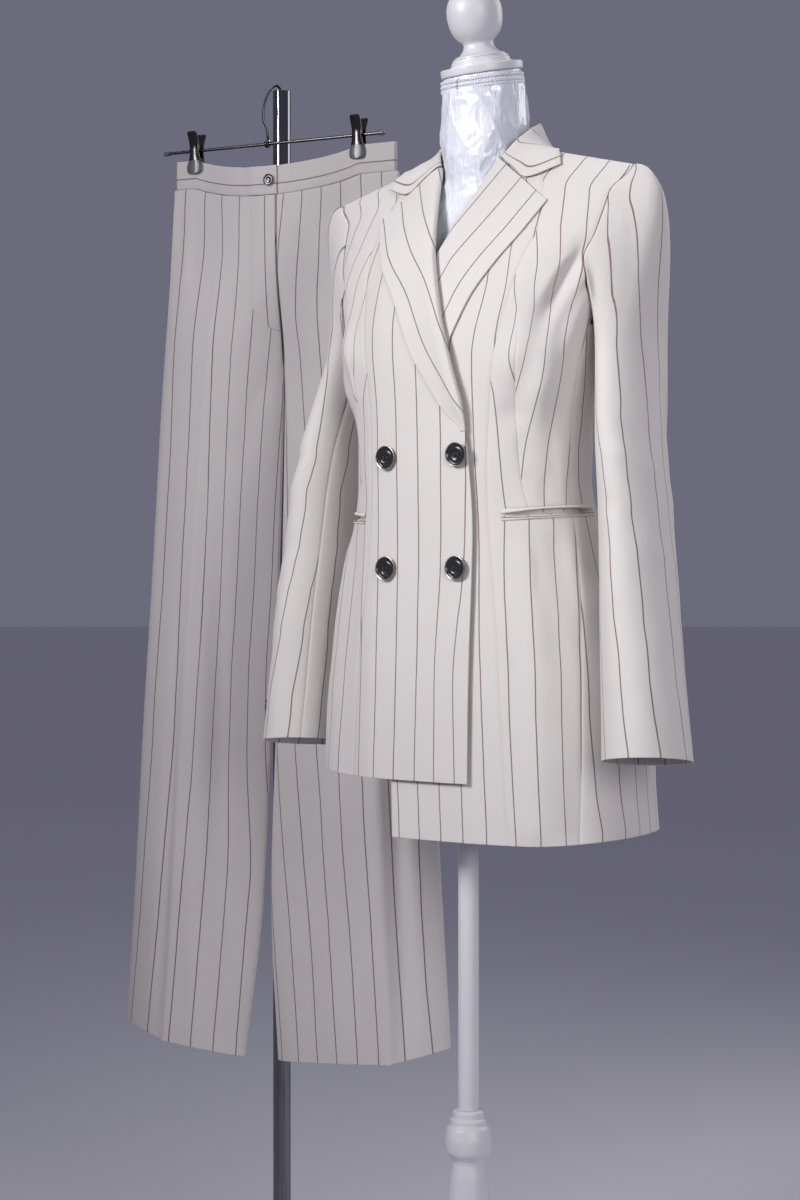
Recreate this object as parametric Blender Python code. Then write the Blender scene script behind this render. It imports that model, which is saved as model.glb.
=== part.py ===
"""Two-piece suit: a double-breasted jacket on a limbless dress form, and its trousers on a clip hanger and post.

Metres, +Z up. The jacket's front faces -Y and the wearer's left is +X. While the pieces are made the origin
is on the floor under the dress form; at the end all of them move so that it is under the middle of the object.
"""

import math
from bisect import bisect_right
from collections import namedtuple

import bmesh
import bpy
from mathutils import Matrix, Vector

# Cloth
WALL = 0.0018
SEAM_GAP = 0.0004
TRIM_WALL = 0.0012
PLY_GAP = 0.0004

# Jacket body
BREAK_LEVEL = 1.122
CHEST_LEVEL = 1.236
TOP_LEVEL = 1.428
HEM_RIGHT = 0.781
HEM_LEFT = 0.722
HEM_RISE = 0.007
NECK_HALF_WIDTH = 0.058
SHOULDER_AT_NECK = 1.4275
SHOULDER_SLOPE = 0.260
ARMHOLE_ANGLE = 61.0
ARMHOLE_CURVE_HEIGHT = 0.090
ARMHOLE_TOP_TURN = 13.0
BACK_NECK_LEVEL = 1.404

# The right front laps over the left one and its lapel
OVERLAP_LIFT = 0.0056
OVERLAP_START = 0.105
OVERLAP_FULL = 0.058

# Jacket buttons and pockets
BUTTON_X = 0.0442
BUTTON_TILT = {-1: 9.0, 1: -3.0}
BUTTON_LEVELS = (1.108, 0.995)
POCKET_FRONT_ANGLE = 33.0
POCKET_BACK_ANGLE = 91.0
POCKET_LEVEL = 1.0465
POCKET_RISE = 0.006
WELT_WIDTH = 0.0055
WELT_MOUTH = 0.0030

# Sleeves
FRONT_SEAM_TURN = 145.0
BACK_SEAM_TURN = -118.0
BICEP_HEIGHT = 1.21
CAP_RISE = 0.20
CUFF_SLOPE = 0.040
BUTTON_TURNS = {1: -75.0, -1: 30.0}

# Dress form and its stand
POLE_Y = -0.020
POLE_RADIUS = 0.0108
NECK_Y = 0.003
CAP_LEAN = 12.5
LEG_COUNT = 3
FORM_SIDES = 24

# Trousers hang at this place, turned from the jacket
TROUSER_X = -0.398
TROUSER_Y = 0.129
TROUSER_TURN = 14.0
WAIST_TOP = 1.4965
WAIST_SAG = 0.019
BAND_HEIGHT = 0.034
CROTCH_HEIGHT = 1.218
FLY_BOTTOM = 1.283
CLIP_U = (-0.122, 0.100)
CLIP_REACH = 0.013
PINCH = 0.0023
BAND_GAP = 0.0008

# Hanger and post
ROD_HEIGHT = 1.5085
ROD_RADIUS = 0.0019
ROD_ENDS = (-0.160, 0.126)
POST_U = -0.0380
POST_W = -0.062
POST_RADIUS = 0.0110
POST_WALL = 0.0015
POST_TOP = 1.585
POST_FOOT_RADIUS = 0.150

Section = namedtuple("Section", "level half_width front back square back_square")
JACKET_SECTIONS = (
    Section(0.700, 0.186, 0.099, 0.158, 2.5, 2.4),
    Section(0.800, 0.182, 0.098, 0.156, 2.5, 2.3),
    Section(0.870, 0.176, 0.097, 0.145, 2.5, 2.3),
    Section(0.930, 0.167, 0.095, 0.130, 2.5, 2.2),
    Section(0.970, 0.160, 0.093, 0.112, 2.5, 2.1),
    Section(1.035, 0.1455, 0.0915, 0.073, 2.5, 2.0),
    Section(1.085, 0.1370, 0.0920, 0.050, 2.5, 2.0),
    Section(1.150, 0.1385, 0.0925, 0.062, 2.4, 2.1),
    Section(1.190, 0.144, 0.0920, 0.080, 2.4, 2.3),
    Section(1.236, 0.155, 0.0890, 0.090, 2.5, 2.5),
    Section(1.270, 0.165, 0.0820, 0.093, 2.6, 2.6),
    Section(1.302, 0.173, 0.0720, 0.093, 2.6, 2.6),
    Section(1.335, 0.182, 0.0560, 0.090, 2.5, 2.5),
    Section(1.375, 0.190, 0.0350, 0.080, 2.3, 2.3),
    Section(1.405, 0.194, 0.0180, 0.063, 2.2, 2.2),
    Section(1.420, 0.196, 0.0090, 0.040, 2.2, 2.2),
    Section(1.428, 0.197, 0.0000, 0.000, 2.2, 2.2),
)

# How far each front reaches past the centre line; above the break this is the roll line of the lapel
FrontEdge = namedtuple("FrontEdge", "level over under")
FRONT_EDGES = (
    FrontEdge(0.700, -0.060, -0.037),
    FrontEdge(1.020, -0.060, -0.046),
    FrontEdge(1.122, -0.053, -0.050),
    FrontEdge(1.208, -0.031, -0.031),
    FrontEdge(1.260, -0.015, -0.015),
    FrontEdge(1.302, 0.000, 0.000),
    FrontEdge(1.335, 0.013, 0.013),
    FrontEdge(1.375, 0.029, 0.029),
    FrontEdge(1.405, 0.039, 0.039),
    FrontEdge(1.416, 0.046, 0.046),
    FrontEdge(1.428, 0.058, 0.058),
)

# Distance of the seams from the centre line, and their angles round the body
PrincessSeam = namedtuple("PrincessSeam", "level out")
PRINCESS_SEAM = (
    PrincessSeam(0.700, 0.104),
    PrincessSeam(0.900, 0.090),
    PrincessSeam(1.085, 0.073),
    PrincessSeam(1.190, 0.078),
    PrincessSeam(1.260, 0.092),
    PrincessSeam(1.302, 0.100),
    PrincessSeam(1.340, 0.108),
    PrincessSeam(1.375, 0.102),
    PrincessSeam(1.428, 0.084),
)
SideSeams = namedtuple("SideSeams", "level front_angle back_angle")
SIDE_SEAMS = (
    SideSeams(0.700, 61.0, 116.0),
    SideSeams(0.850, 65.0, 114.0),
    SideSeams(0.960, 71.0, 111.0),
    SideSeams(1.050, 76.0, 108.0),
    SideSeams(1.120, 77.0, 107.0),
    SideSeams(1.200, 78.0, 105.0),
    SideSeams(1.236, 81.0, 100.0),
)

# Largest folds and the fullness of the bust: ridges are positive, troughs negative
Fold = namedtuple("Fold", "side angle0 level0 angle1 level1 depth width")
JACKET_FOLDS = (
    Fold(1, 48, 1.200, 52, 1.178, 0.0150, 0.036),
    Fold(-1, 48, 1.214, 52, 1.190, 0.0145, 0.036),
    Fold(1, 58, 1.318, 42, 1.150, -0.0045, 0.015),
    Fold(-1, 60, 1.305, 47, 1.165, -0.0035, 0.014),
    Fold(1, 66, 1.330, 68, 1.210, 0.0030, 0.016),
    Fold(1, 44, 1.000, 40, 0.740, 0.0035, 0.017),
    Fold(1, 58, 1.010, 60, 0.740, -0.0035, 0.018),
    Fold(1, 84, 0.960, 88, 0.740, 0.0040, 0.022),
    Fold(-1, 62, 1.010, 64, 0.790, 0.0035, 0.020),
    Fold(-1, 42, 1.000, 36, 0.790, -0.0025, 0.018),
    Fold(1, 130, 1.030, 134, 0.740, -0.0050, 0.020),
    Fold(-1, 128, 1.030, 131, 0.790, -0.0045, 0.020),
    Fold(1, 155, 1.010, 158, 0.740, 0.0040, 0.020),
    Fold(-1, 152, 1.020, 154, 0.790, 0.0045, 0.020),
    Fold(1, 140, 1.330, 118, 1.250, -0.0035, 0.018),
    Fold(-1, 138, 1.335, 117, 1.255, -0.0035, 0.018),
)

# Lapel: how far its outer edge lies from the centre line, and its top edge
LapelEdge = namedtuple("LapelEdge", "level out")
LAPEL_EDGE = (
    LapelEdge(1.122, -0.051),
    LapelEdge(1.150, -0.026),
    LapelEdge(1.208, 0.021),
    LapelEdge(1.240, 0.038),
    LapelEdge(1.268, 0.051),
    LapelEdge(1.302, 0.072),
    LapelEdge(1.335, 0.091),
    LapelEdge(1.372, 0.108),
)
LapelTop = namedtuple("LapelTop", "share level")
LAPEL_TOP = (
    LapelTop(0.0, 1.4095),
    LapelTop(0.54, 1.3915),
    LapelTop(1.0, 1.3720),
)
# Across the lapel, from the fold round the front's edge to the outer edge
LapelPly = namedtuple("LapelPly", "share beyond lift pressed")
LAPEL_PLIES = (
    LapelPly(0.00, 0.0022, -0.0016, -0.0016),
    LapelPly(0.00, 0.0042, 0.0016, 0.0006),
    LapelPly(0.00, 0.0028, 0.0056, 0.0025),
    LapelPly(0.12, 0.0000, 0.0066, 0.0025),
    LapelPly(0.34, 0.0000, 0.0050, 0.0025),
    LapelPly(0.54, 0.0000, 0.0038, 0.0025),
    LapelPly(0.78, 0.0000, 0.0030, 0.0025),
    LapelPly(1.00, 0.0000, 0.0026, 0.0025),
)

# Collar, round the neck from the centre back: share 1 is its front end, which meets the lapel at the gorge
CollarStation = namedtuple("CollarStation", "share foot_radius foot_z fold_radius fold_z edge_radius")
COLLAR_STATIONS = (
    CollarStation(0.00, 0.0625, 1.4210, 0.0640, 1.4610, 0.0780),
    CollarStation(0.30, 0.0575, 1.4240, 0.0580, 1.4600, 0.0790),
    CollarStation(0.60, 0.0545, 1.4290, 0.0535, 1.4500, 0.0850),
    CollarStation(0.80, 0.0520, 1.4290, 0.0505, 1.4370, 0.0900),
    CollarStation(1.00, 0.0475, 1.4160, 0.0475, 1.4180, 0.1120),
)
COLLAR_LIFT = 0.0030
COLLAR_FOLD_TURN = 117.0
COLLAR_EDGE_TURN = 102.0
COLLAR_SHARES = (0.0, 0.15, 0.30, 0.45, 0.58, 0.70, 0.80, 0.88)
COLLAR_END_SHARES = (0.5, 1.0)
# The collar's front end, from under its fold to its free corner
GorgePoint = namedtuple("GorgePoint", "out level lift")
COLLAR_END = (
    GorgePoint(0.0415, 1.4125, -0.0010),
    GorgePoint(0.0400, 1.4130, 0.0006),
    GorgePoint(0.0395, 1.4130, 0.0024),
    GorgePoint(0.0415, 1.4125, 0.0054),
    GorgePoint(0.0465, 1.4105, 0.0062),
    GorgePoint(0.0610, 1.4030, 0.0050),
    GorgePoint(0.0775, 1.3955, 0.0042),
    GorgePoint(0.1100, 1.4140, 0.0042),
)

# Left sleeve, mirrored for the right one
SleeveSection = namedtuple("SleeveSection", "height x y half_thick half_wide lean")
SLEEVE_SECTIONS = (
    SleeveSection(0.815, 0.2230, -0.0250, 0.0425, 0.0520, 12.0),
    SleeveSection(0.876, 0.2165, -0.0205, 0.0395, 0.0535, 12.0),
    SleeveSection(0.955, 0.2085, -0.0150, 0.0360, 0.0560, 12.0),
    SleeveSection(1.058, 0.1970, -0.0060, 0.0315, 0.0575, 12.0),
    SleeveSection(1.105, 0.1920, -0.0030, 0.0290, 0.0575, 9.0),
    SleeveSection(1.210, 0.1780, 0.0160, 0.0260, 0.0540, 2.0),
)

# How much further out, back and thicker each sleeve hangs at its cuff
Swing = namedtuple("Swing", "x y half_thick")
SLEEVE_SWINGS = {1: Swing(0.0080, -0.0100, 0.0), -1: Swing(-0.0010, 0.0, -0.0040)}
SWING_HEIGHT = 1.10

# Dress form
FormSection = namedtuple("FormSection", "height half_width front back peak")
FORM_SECTIONS = (
    FormSection(0.800, 0.130, 0.064, 0.103, 0.86),
    FormSection(0.806, 0.150, 0.080, 0.126, 0.86),
    FormSection(0.830, 0.160, 0.085, 0.134, 0.86),
    FormSection(0.900, 0.156, 0.085, 0.124, 0.86),
    FormSection(0.970, 0.143, 0.083, 0.100, 0.86),
    FormSection(1.035, 0.126, 0.081, 0.066, 0.86),
    FormSection(1.085, 0.118, 0.080, 0.046, 0.86),
    FormSection(1.150, 0.123, 0.080, 0.053, 0.86),
    FormSection(1.200, 0.133, 0.080, 0.069, 0.86),
    FormSection(1.250, 0.142, 0.072, 0.077, 0.86),
    FormSection(1.300, 0.144, 0.060, 0.077, 0.90),
    FormSection(1.340, 0.140, 0.045, 0.073, 0.95),
    FormSection(1.366, 0.126, 0.035, 0.066, 1.10),
    FormSection(1.384, 0.086, 0.030, 0.060, 1.50),
    FormSection(1.400, 0.0460, 0.031, 0.056, 1.30),
    FormSection(1.415, 0.0395, 0.034, 0.054, 1.05),
    FormSection(1.435, 0.0405, 0.036, 0.055, 1.00),
    FormSection(1.465, 0.0415, 0.037, 0.056, 1.00),
    FormSection(1.490, 0.0410, 0.037, 0.051, 1.00),
    FormSection(1.509, 0.0405, 0.037, 0.044, 1.00),
)

Turned = namedtuple("Turned", "radius height")
CAP_PROFILE = (
    Turned(0.0400, 0.0000),
    Turned(0.0425, 0.0008),
    Turned(0.0430, 0.0060),
    Turned(0.0415, 0.0085),
    Turned(0.0330, 0.0100),
    Turned(0.0315, 0.0150),
    Turned(0.0300, 0.0168),
)
FINIAL_PROFILE = (
    Turned(0.0270, 0.0000),
    Turned(0.0220, 0.0035),
    Turned(0.0165, 0.0090),
    Turned(0.0150, 0.0140),
    Turned(0.0185, 0.0170),
    Turned(0.0245, 0.0245),
    Turned(0.0282, 0.0340),
    Turned(0.0290, 0.0440),
    Turned(0.0272, 0.0550),
    Turned(0.0220, 0.0650),
    Turned(0.0130, 0.0715),
    Turned(0.0050, 0.0733),
)
COLUMN_PROFILE = (
    Turned(0.0300, 0.1450),
    Turned(0.0345, 0.1500),
    Turned(0.0350, 0.2250),
    Turned(0.0300, 0.2320),
    Turned(0.0205, 0.2480),
    Turned(0.0180, 0.2700),
    Turned(0.0205, 0.3110),
    Turned(0.0222, 0.3430),
    Turned(0.0195, 0.3670),
    Turned(0.0165, 0.3810),
    Turned(0.0172, 0.3850),
    Turned(0.0235, 0.3930),
    Turned(0.0250, 0.4060),
    Turned(0.0225, 0.4180),
    Turned(0.0190, 0.4215),
    Turned(0.0192, 0.4265),
    Turned(0.0160, 0.4280),
    Turned(0.0162, 0.4340),
    Turned(0.0145, 0.4360),
)
BUTTON_PROFILE = (
    Turned(0.0030, -0.0008),
    Turned(0.0030, 0.0000),
    Turned(0.0105, 0.0003),
    Turned(0.0122, 0.0014),
    Turned(0.0119, 0.0028),
    Turned(0.0104, 0.0028),
    Turned(0.0098, 0.0018),
    Turned(0.0030, 0.0016),
)
LegPoint = namedtuple("LegPoint", "reach height radius")
LEG_PATH = (
    LegPoint(0.0365, 0.2000, 0.0130),
    LegPoint(0.0620, 0.2080, 0.0150),
    LegPoint(0.0980, 0.1900, 0.0160),
    LegPoint(0.1350, 0.1420, 0.0145),
    LegPoint(0.1700, 0.0850, 0.0125),
    LegPoint(0.2020, 0.0420, 0.0125),
    LegPoint(0.2260, 0.0190, 0.0150),
)

# Trousers in their own frame: u to the wearer's left, w forwards. The right leg is photo-near the post
TrouserLeg = namedtuple("TrouserLeg", "height out crease inner front back")
LEFT_LEG = (
    TrouserLeg(0.400, 0.2220, 0.1640, -0.0080, 0.046, 0.028),
    TrouserLeg(0.600, 0.2090, 0.1520, -0.0180, 0.044, 0.026),
    TrouserLeg(0.800, 0.1970, 0.1400, -0.0120, 0.038, 0.024),
    TrouserLeg(1.000, 0.1840, 0.1180, -0.0030, 0.030, 0.022),
    TrouserLeg(1.218, 0.1710, 0.0960, 0.0010, 0.025, 0.021),
    TrouserLeg(1.350, 0.1600, 0.0820, 0.0004, 0.022, 0.020),
    TrouserLeg(1.500, 0.1500, 0.0740, 0.0004, 0.020, 0.020),
)
RIGHT_LEG = (
    TrouserLeg(0.400, -0.2260, -0.1500, -0.0560, 0.036, 0.024),
    TrouserLeg(0.600, -0.2110, -0.1360, -0.0290, 0.036, 0.024),
    TrouserLeg(0.800, -0.1990, -0.1250, -0.0170, 0.034, 0.023),
    TrouserLeg(1.000, -0.1850, -0.1100, -0.0070, 0.030, 0.022),
    TrouserLeg(1.218, -0.1710, -0.0940, -0.0010, 0.025, 0.021),
    TrouserLeg(1.350, -0.1600, -0.0820, -0.0004, 0.022, 0.020),
    TrouserLeg(1.500, -0.1500, -0.0740, -0.0004, 0.020, 0.020),
)
HEM_AT_INNER = 0.4100
HEM_AT_OUT = 0.4440

TORSO_LEVELS = (
    0.80, 0.87, 0.93, 0.98, 1.02, 1.05, 1.085, 1.135, 1.175, 1.21, 1.236,
    1.265, 1.295, 1.33, 1.365, 1.395, 1.412, 1.422, 1.428,
)
SLEEVE_HEIGHTS = (0.815, 0.85, 0.90, 0.955, 1.01, 1.06, 1.11, 1.16, 1.21)
CAP_SHARES = (0.2, 0.42, 0.62, 0.8, 0.92, 1.0)
TROUSER_SHARES = (0.0, 0.02, 0.08, 0.2, 0.35, 0.5, 0.65, 0.8, 0.92, 0.98, 1.0)
TROUSER_RISES = (
    0.0, 0.04, 0.10, 0.17, 0.24, 0.31, 0.38, 0.45, 0.52,
    0.59, 0.65, 0.70, 0.755, 0.80, 0.85, 0.90, 0.95, 1.0,
)


def read_table(rows, column, at):
    """Reads a table's column at a value of its first column, on a smooth curve that never overshoots."""
    places = [row[0] for row in rows]
    values = [getattr(row, column) for row in rows]
    at = min(max(at, places[0]), places[-1])
    i = min(bisect_right(places, at) - 1, len(rows) - 2)
    steps = [
        (values[k + 1] - values[k]) / (places[k + 1] - places[k]) if 0 <= k < len(rows) - 1 else None
        for k in (i - 1, i, i + 1)
    ]

    def slope(before, after):
        if before is None or after is None:
            return steps[1]
        return 2 * before * after / (before + after) if before * after > 0 else 0.0

    width = places[i + 1] - places[i]
    t = (at - places[i]) / width
    start, end = slope(steps[0], steps[1]) * width, slope(steps[1], steps[2]) * width
    return (
        (2 * t**3 - 3 * t**2 + 1) * values[i]
        + (t**3 - 2 * t**2 + t) * start
        + (3 * t**2 - 2 * t**3) * values[i + 1]
        + (t**3 - t**2) * end
    )


def mix(a, b, share):
    return a + (b - a) * share


def smooth_step(low, high, at):
    t = min(max((at - low) / (high - low), 0.0), 1.0)
    return t * t * (3 - 2 * t)


def spread(first, last, count):
    return [mix(first, last, i / (count - 1)) for i in range(count)]


# Scene helpers


def clear_scene():
    for obj in list(bpy.data.objects):
        bpy.data.objects.remove(obj)


def material(name, colour, roughness, metallic=0.0):
    made = bpy.data.materials.new(name)
    made.use_nodes = True
    shader = made.node_tree.nodes["Principled BSDF"]
    shader.inputs["Base Color"].default_value = (*colour, 1.0)
    shader.inputs["Roughness"].default_value = roughness
    shader.inputs["Metallic"].default_value = metallic
    return made


def add_object(name, mesh_data, finish):
    mesh = bpy.data.meshes.new(name)
    mesh_data.to_mesh(mesh)
    mesh_data.free()
    mesh.materials.append(finish)
    mesh.shade_smooth()
    mesh.set_sharp_from_angle(angle=math.radians(40))
    obj = bpy.data.objects.new(name, mesh)
    bpy.context.scene.collection.objects.link(obj)
    return obj


def closed_solid(name, points, faces, finish):
    """One object from points and faces that close, turned so that the faces point out."""
    made = bmesh.new()
    verts = [made.verts.new(p) for p in points]
    for face in faces:
        made.faces.new([verts[i] for i in face])
    bmesh.ops.recalc_face_normals(made, faces=made.faces)
    return add_object(name, made, finish)


def grid_normals(grid, flip):
    """A normal at each point of a grid, from its neighbours along both ways."""
    rows, columns = len(grid), len(grid[0])
    normals = []
    for i in range(rows):
        line = []
        for j in range(columns):
            across = grid[i][min(j + 1, columns - 1)] - grid[i][max(j - 1, 0)]
            up = grid[min(i + 1, rows - 1)][j] - grid[max(i - 1, 0)][j]
            normal = across.cross(up).normalized()
            line.append(-normal if flip else normal)
        normals.append(line)
    return normals


def wall(name, outer, normals, thickness, finish):
    """A closed wall of cloth: a grid of outer points, the same moved in along the normals, and its four edges."""
    rows, columns = len(outer), len(outer[0])
    inner = [[p - n * thickness for p, n in zip(line, row)] for line, row in zip(outer, normals)]
    points = [p for line in outer for p in line] + [p for line in inner for p in line]
    under = rows * columns

    def at(i, j, side):
        return i * columns + j + side * under

    faces = []
    for i in range(rows - 1):
        for j in range(columns - 1):
            faces.append((at(i, j, 0), at(i, j + 1, 0), at(i + 1, j + 1, 0), at(i + 1, j, 0)))
            faces.append((at(i, j, 1), at(i + 1, j, 1), at(i + 1, j + 1, 1), at(i, j + 1, 1)))
    border = (
        [(0, j) for j in range(columns)]
        + [(i, columns - 1) for i in range(1, rows)]
        + [(rows - 1, j) for j in range(columns - 2, -1, -1)]
        + [(i, 0) for i in range(rows - 2, 0, -1)]
    )
    for (i0, j0), (i1, j1) in zip(border, border[1:] + border[:1]):
        faces.append((at(i0, j0, 0), at(i0, j0, 1), at(i1, j1, 1), at(i1, j1, 0)))
    return closed_solid(name, points, faces, finish)


def lofted(name, rings, finish):
    """A closed solid through rings with the same number of points, capped at both ends."""
    count = len(rings[0])
    points = [p for ring in rings for p in ring]
    faces = [tuple(range(count)), tuple(range(len(points) - count, len(points)))]
    for i in range(len(rings) - 1):
        for j in range(count):
            k = (j + 1) % count
            faces.append((i * count + j, i * count + k, (i + 1) * count + k, (i + 1) * count + j))
    return closed_solid(name, points, faces, finish)


def frame_along(axis):
    """Two directions square to an axis."""
    axis = axis.normalized()
    aside = axis.cross(Vector((0, 1, 0)) if abs(axis.y) < 0.9 else Vector((1, 0, 0))).normalized()
    return aside, axis.cross(aside).normalized()


def turned(name, profile, base, axis, sides, finish):
    """A turned solid: each profile row is a ring about the axis, at its height above the base point."""
    aside, ahead = frame_along(axis)
    axis = axis.normalized()
    rings = []
    for row in profile:
        centre = base + axis * row.height
        turns = [2 * math.pi * k / sides for k in range(sides)]
        rings.append([centre + (aside * math.cos(t) + ahead * math.sin(t)) * row.radius for t in turns])
    return lofted(name, rings, finish)


def tube(name, path, radii, sides, finish):
    """A round bar along a path, with a radius at each of its points."""
    rings = []
    aside = None
    for i, centre in enumerate(path):
        along = (path[min(i + 1, len(path) - 1)] - path[max(i - 1, 0)]).normalized()
        aside = frame_along(along)[0] if aside is None else (aside - along * aside.dot(along)).normalized()
        ahead = along.cross(aside)
        turns = [2 * math.pi * k / sides for k in range(sides)]
        rings.append([centre + (aside * math.cos(t) + ahead * math.sin(t)) * radii[i] for t in turns])
    return lofted(name, rings, finish)


# Jacket body surface


def shoulder_height(out):
    """Height of the shoulder seam at a distance from the centre line."""
    return SHOULDER_AT_NECK - SHOULDER_SLOPE * (out - NECK_HALF_WIDTH)


def fold_depth(angle, level, side):
    """How far the folds move the cloth out or in at a place on one half of the body."""
    total = 0.0
    for fold in JACKET_FOLDS:
        if fold.side != side:
            continue
        ax, ay = math.radians(fold.angle0) * 0.13, fold.level0
        bx, by = math.radians(fold.angle1) * 0.13, fold.level1
        px, py = math.radians(angle) * 0.13, level
        length2 = (bx - ax) ** 2 + (by - ay) ** 2
        t = min(max(((px - ax) * (bx - ax) + (py - ay) * (by - ay)) / length2, 0.0), 1.0)
        away2 = (px - mix(ax, bx, t)) ** 2 + (py - mix(ay, by, t)) ** 2
        total += fold.depth * math.exp(-away2 / fold.width**2)
    return total


def body_point(angle, level, side, out=0.0):
    """A point of the jacket's outer surface. The angle runs from the centre front round to the centre back."""
    sine, cosine = math.sin(math.radians(angle)), math.cos(math.radians(angle))
    power = 2 / read_table(JACKET_SECTIONS, "square" if cosine > 0 else "back_square", level)
    x = read_table(JACKET_SECTIONS, "half_width", level) * math.copysign(abs(sine) ** power, sine)
    depth = read_table(JACKET_SECTIONS, "front" if cosine > 0 else "back", level)
    y = -depth * math.copysign(abs(cosine) ** power, cosine)
    share = max(level - CHEST_LEVEL, 0.0) / (TOP_LEVEL - CHEST_LEVEL)
    z = mix(min(level, CHEST_LEVEL), shoulder_height(abs(x)), share)
    fade = 1 - smooth_step(1.33, 1.41, level)
    moved = out + fold_depth(abs(angle), level, side if angle >= 0 else -side) * fade
    return Vector((side * (x + sine * moved), y - cosine * moved, z))


def body_normal(angle, level, side):
    """The outward normal of the jacket's surface. On the shoulder seam it has no fore-and-aft part."""
    around = body_point(angle + 0.5, level, side) - body_point(angle - 0.5, level, side)
    low, high = level - 0.002, min(level + 0.002, TOP_LEVEL)
    rise = body_point(angle, high, side) - body_point(angle, low, side)
    normal = around.cross(rise) * side
    if level > TOP_LEVEL - 1e-6:
        normal = body_point(angle, TOP_LEVEL, side) - body_point(angle, CHEST_LEVEL, side)
        normal.y = 0.0
        normal.x *= 0.2
    return normal.normalized()


def angle_at(out, level):
    """The angle at which the front surface lies a distance from the centre line."""
    power = 2 / read_table(JACKET_SECTIONS, "square", level)
    share = min(abs(out) / read_table(JACKET_SECTIONS, "half_width", level), 1.0)
    return math.copysign(math.degrees(math.asin(share ** (1 / power))), out)


def armhole_angle(level):
    """The angle of the front armhole at a level; the back one mirrors it about the side."""
    low = max(0.0, 1 - (level - CHEST_LEVEL) / ARMHOLE_CURVE_HEIGHT)
    top = smooth_step(1.390, TOP_LEVEL, level)
    return ARMHOLE_ANGLE + (90 - ARMHOLE_ANGLE) * low**2 + ARMHOLE_TOP_TURN * top


def overlap_lift(angle, level, side):
    """How far the right front stands out to pass over the left front and its lapel."""
    if side > 0:
        return 0.0
    x = body_point(angle, level, side).x
    lift = OVERLAP_LIFT * (1 - smooth_step(OVERLAP_FULL, OVERLAP_START, -x))
    return lift * (1 - smooth_step(1.31, 1.39, level))


def panel(name, side, levels, left, right, columns, finish):
    """A body panel between two edges given as angles for a level, cut short by half a seam gap all round."""
    outer, normals = [], []
    for i, level in enumerate(levels):
        first, last = left(level), right(level)
        line, row = [], []
        for angle in spread(first, last, columns):
            own = level + hem_rise(angle) if i == 0 else level
            line.append(body_point(angle, own, side, overlap_lift(angle, own, side)))
            row.append(body_normal(angle, own, side))
        start = (line[1] - line[0]).normalized() * (SEAM_GAP / 2)
        end = (line[-2] - line[-1]).normalized() * (SEAM_GAP / 2)
        line[0] = line[0] + start
        line[-1] = line[-1] + end
        if level > TOP_LEVEL - 1e-6:
            ahead = -1 if first < 90 else 1
            line = [p + Vector((0, ahead * SEAM_GAP / 2, 0)) for p in line]
        outer.append(line)
        normals.append(row)
    return wall(name, outer, normals, WALL, finish)


def hem_rise(angle):
    """The hem is a little higher at the side and back than at the front."""
    return HEM_RISE * smooth_step(30, 100, angle)


def levels_from(hem, top=TOP_LEVEL):
    return [hem] + [level for level in TORSO_LEVELS if hem + 0.01 < level <= top + 1e-6]


def front_edge(side):
    column = "over" if side < 0 else "under"
    return lambda level: angle_at(read_table(FRONT_EDGES, column, level), level)


def princess_angle(level):
    return angle_at(read_table(PRINCESS_SEAM, "out", level), level)


def side_front_angle(level):
    """The side-front seam, and above it the front armhole."""
    if level <= CHEST_LEVEL:
        return read_table(SIDE_SEAMS, "front_angle", level)
    return min(armhole_angle(level), read_table(SIDE_SEAMS, "front_angle", CHEST_LEVEL))


def side_back_angle(level):
    """The side-back seam, and above it the back armhole."""
    if level <= CHEST_LEVEL:
        return read_table(SIDE_SEAMS, "back_angle", level)
    return max(180 - armhole_angle(level), read_table(SIDE_SEAMS, "back_angle", CHEST_LEVEL))


def back_panel(name, side, hem, finish):
    """The back is cut down at the neck, so each of its columns has its own top."""
    columns = 8
    outer, normals = [], []
    for level in levels_from(hem):
        line, row = [], []
        for share in spread(0, 1, columns):
            neck = 180 - angle_at(NECK_HALF_WIDTH, TOP_LEVEL)
            at_top = mix(side_back_angle(TOP_LEVEL), 180, share)
            top = mix(TOP_LEVEL, BACK_NECK_LEVEL, smooth_step(neck, 180, at_top))
            rise = max(level - CHEST_LEVEL, 0.0) / (TOP_LEVEL - CHEST_LEVEL)
            own = min(level, CHEST_LEVEL) + (top - CHEST_LEVEL) * rise
            angle = mix(side_back_angle(level), 180, share)
            if level == hem:
                own += hem_rise(angle)
            line.append(body_point(angle, own, side))
            row.append(body_normal(angle, own, side))
        start = (line[1] - line[0]).normalized() * (SEAM_GAP / 2)
        line[0] = line[0] + start
        line[-1] = line[-1] + Vector((side * SEAM_GAP / 2, 0, 0))
        if level > TOP_LEVEL - 1e-6:
            line = [p + Vector((0, SEAM_GAP / 2, 0)) for p in line]
        outer.append(line)
        normals.append(row)
    return wall(name, outer, normals, WALL, finish)


def lapel(name, side, finish):
    """The lapel folds round the front's edge at the roll line and lies on the front. The left one is pressed
    flat where the right front covers it."""
    outer = []
    column = "over" if side < 0 else "under"
    for share_up in spread(0.035, 1.0, 13):
        line = []
        for ply in LAPEL_PLIES:
            level = mix(BREAK_LEVEL, read_table(LAPEL_TOP, "level", ply.share), share_up)
            roll = read_table(FRONT_EDGES, column, level)
            edge = max(read_table(LAPEL_EDGE, "out", level), roll + 0.004)
            place = mix(roll, edge, ply.share) - ply.beyond
            free = smooth_step(0.0, 0.12, share_up)
            if side > 0:
                free = smooth_step(0.006, 0.026, place + read_table(FRONT_EDGES, "over", level))
            lift = mix(ply.pressed, ply.lift, free)
            angle = angle_at(place, level)
            line.append(body_point(angle, level, side, lift + overlap_lift(angle, level, side)))
        outer.append(line)
    return wall(name, outer, grid_normals(outer, side < 0), WALL, finish)


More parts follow.
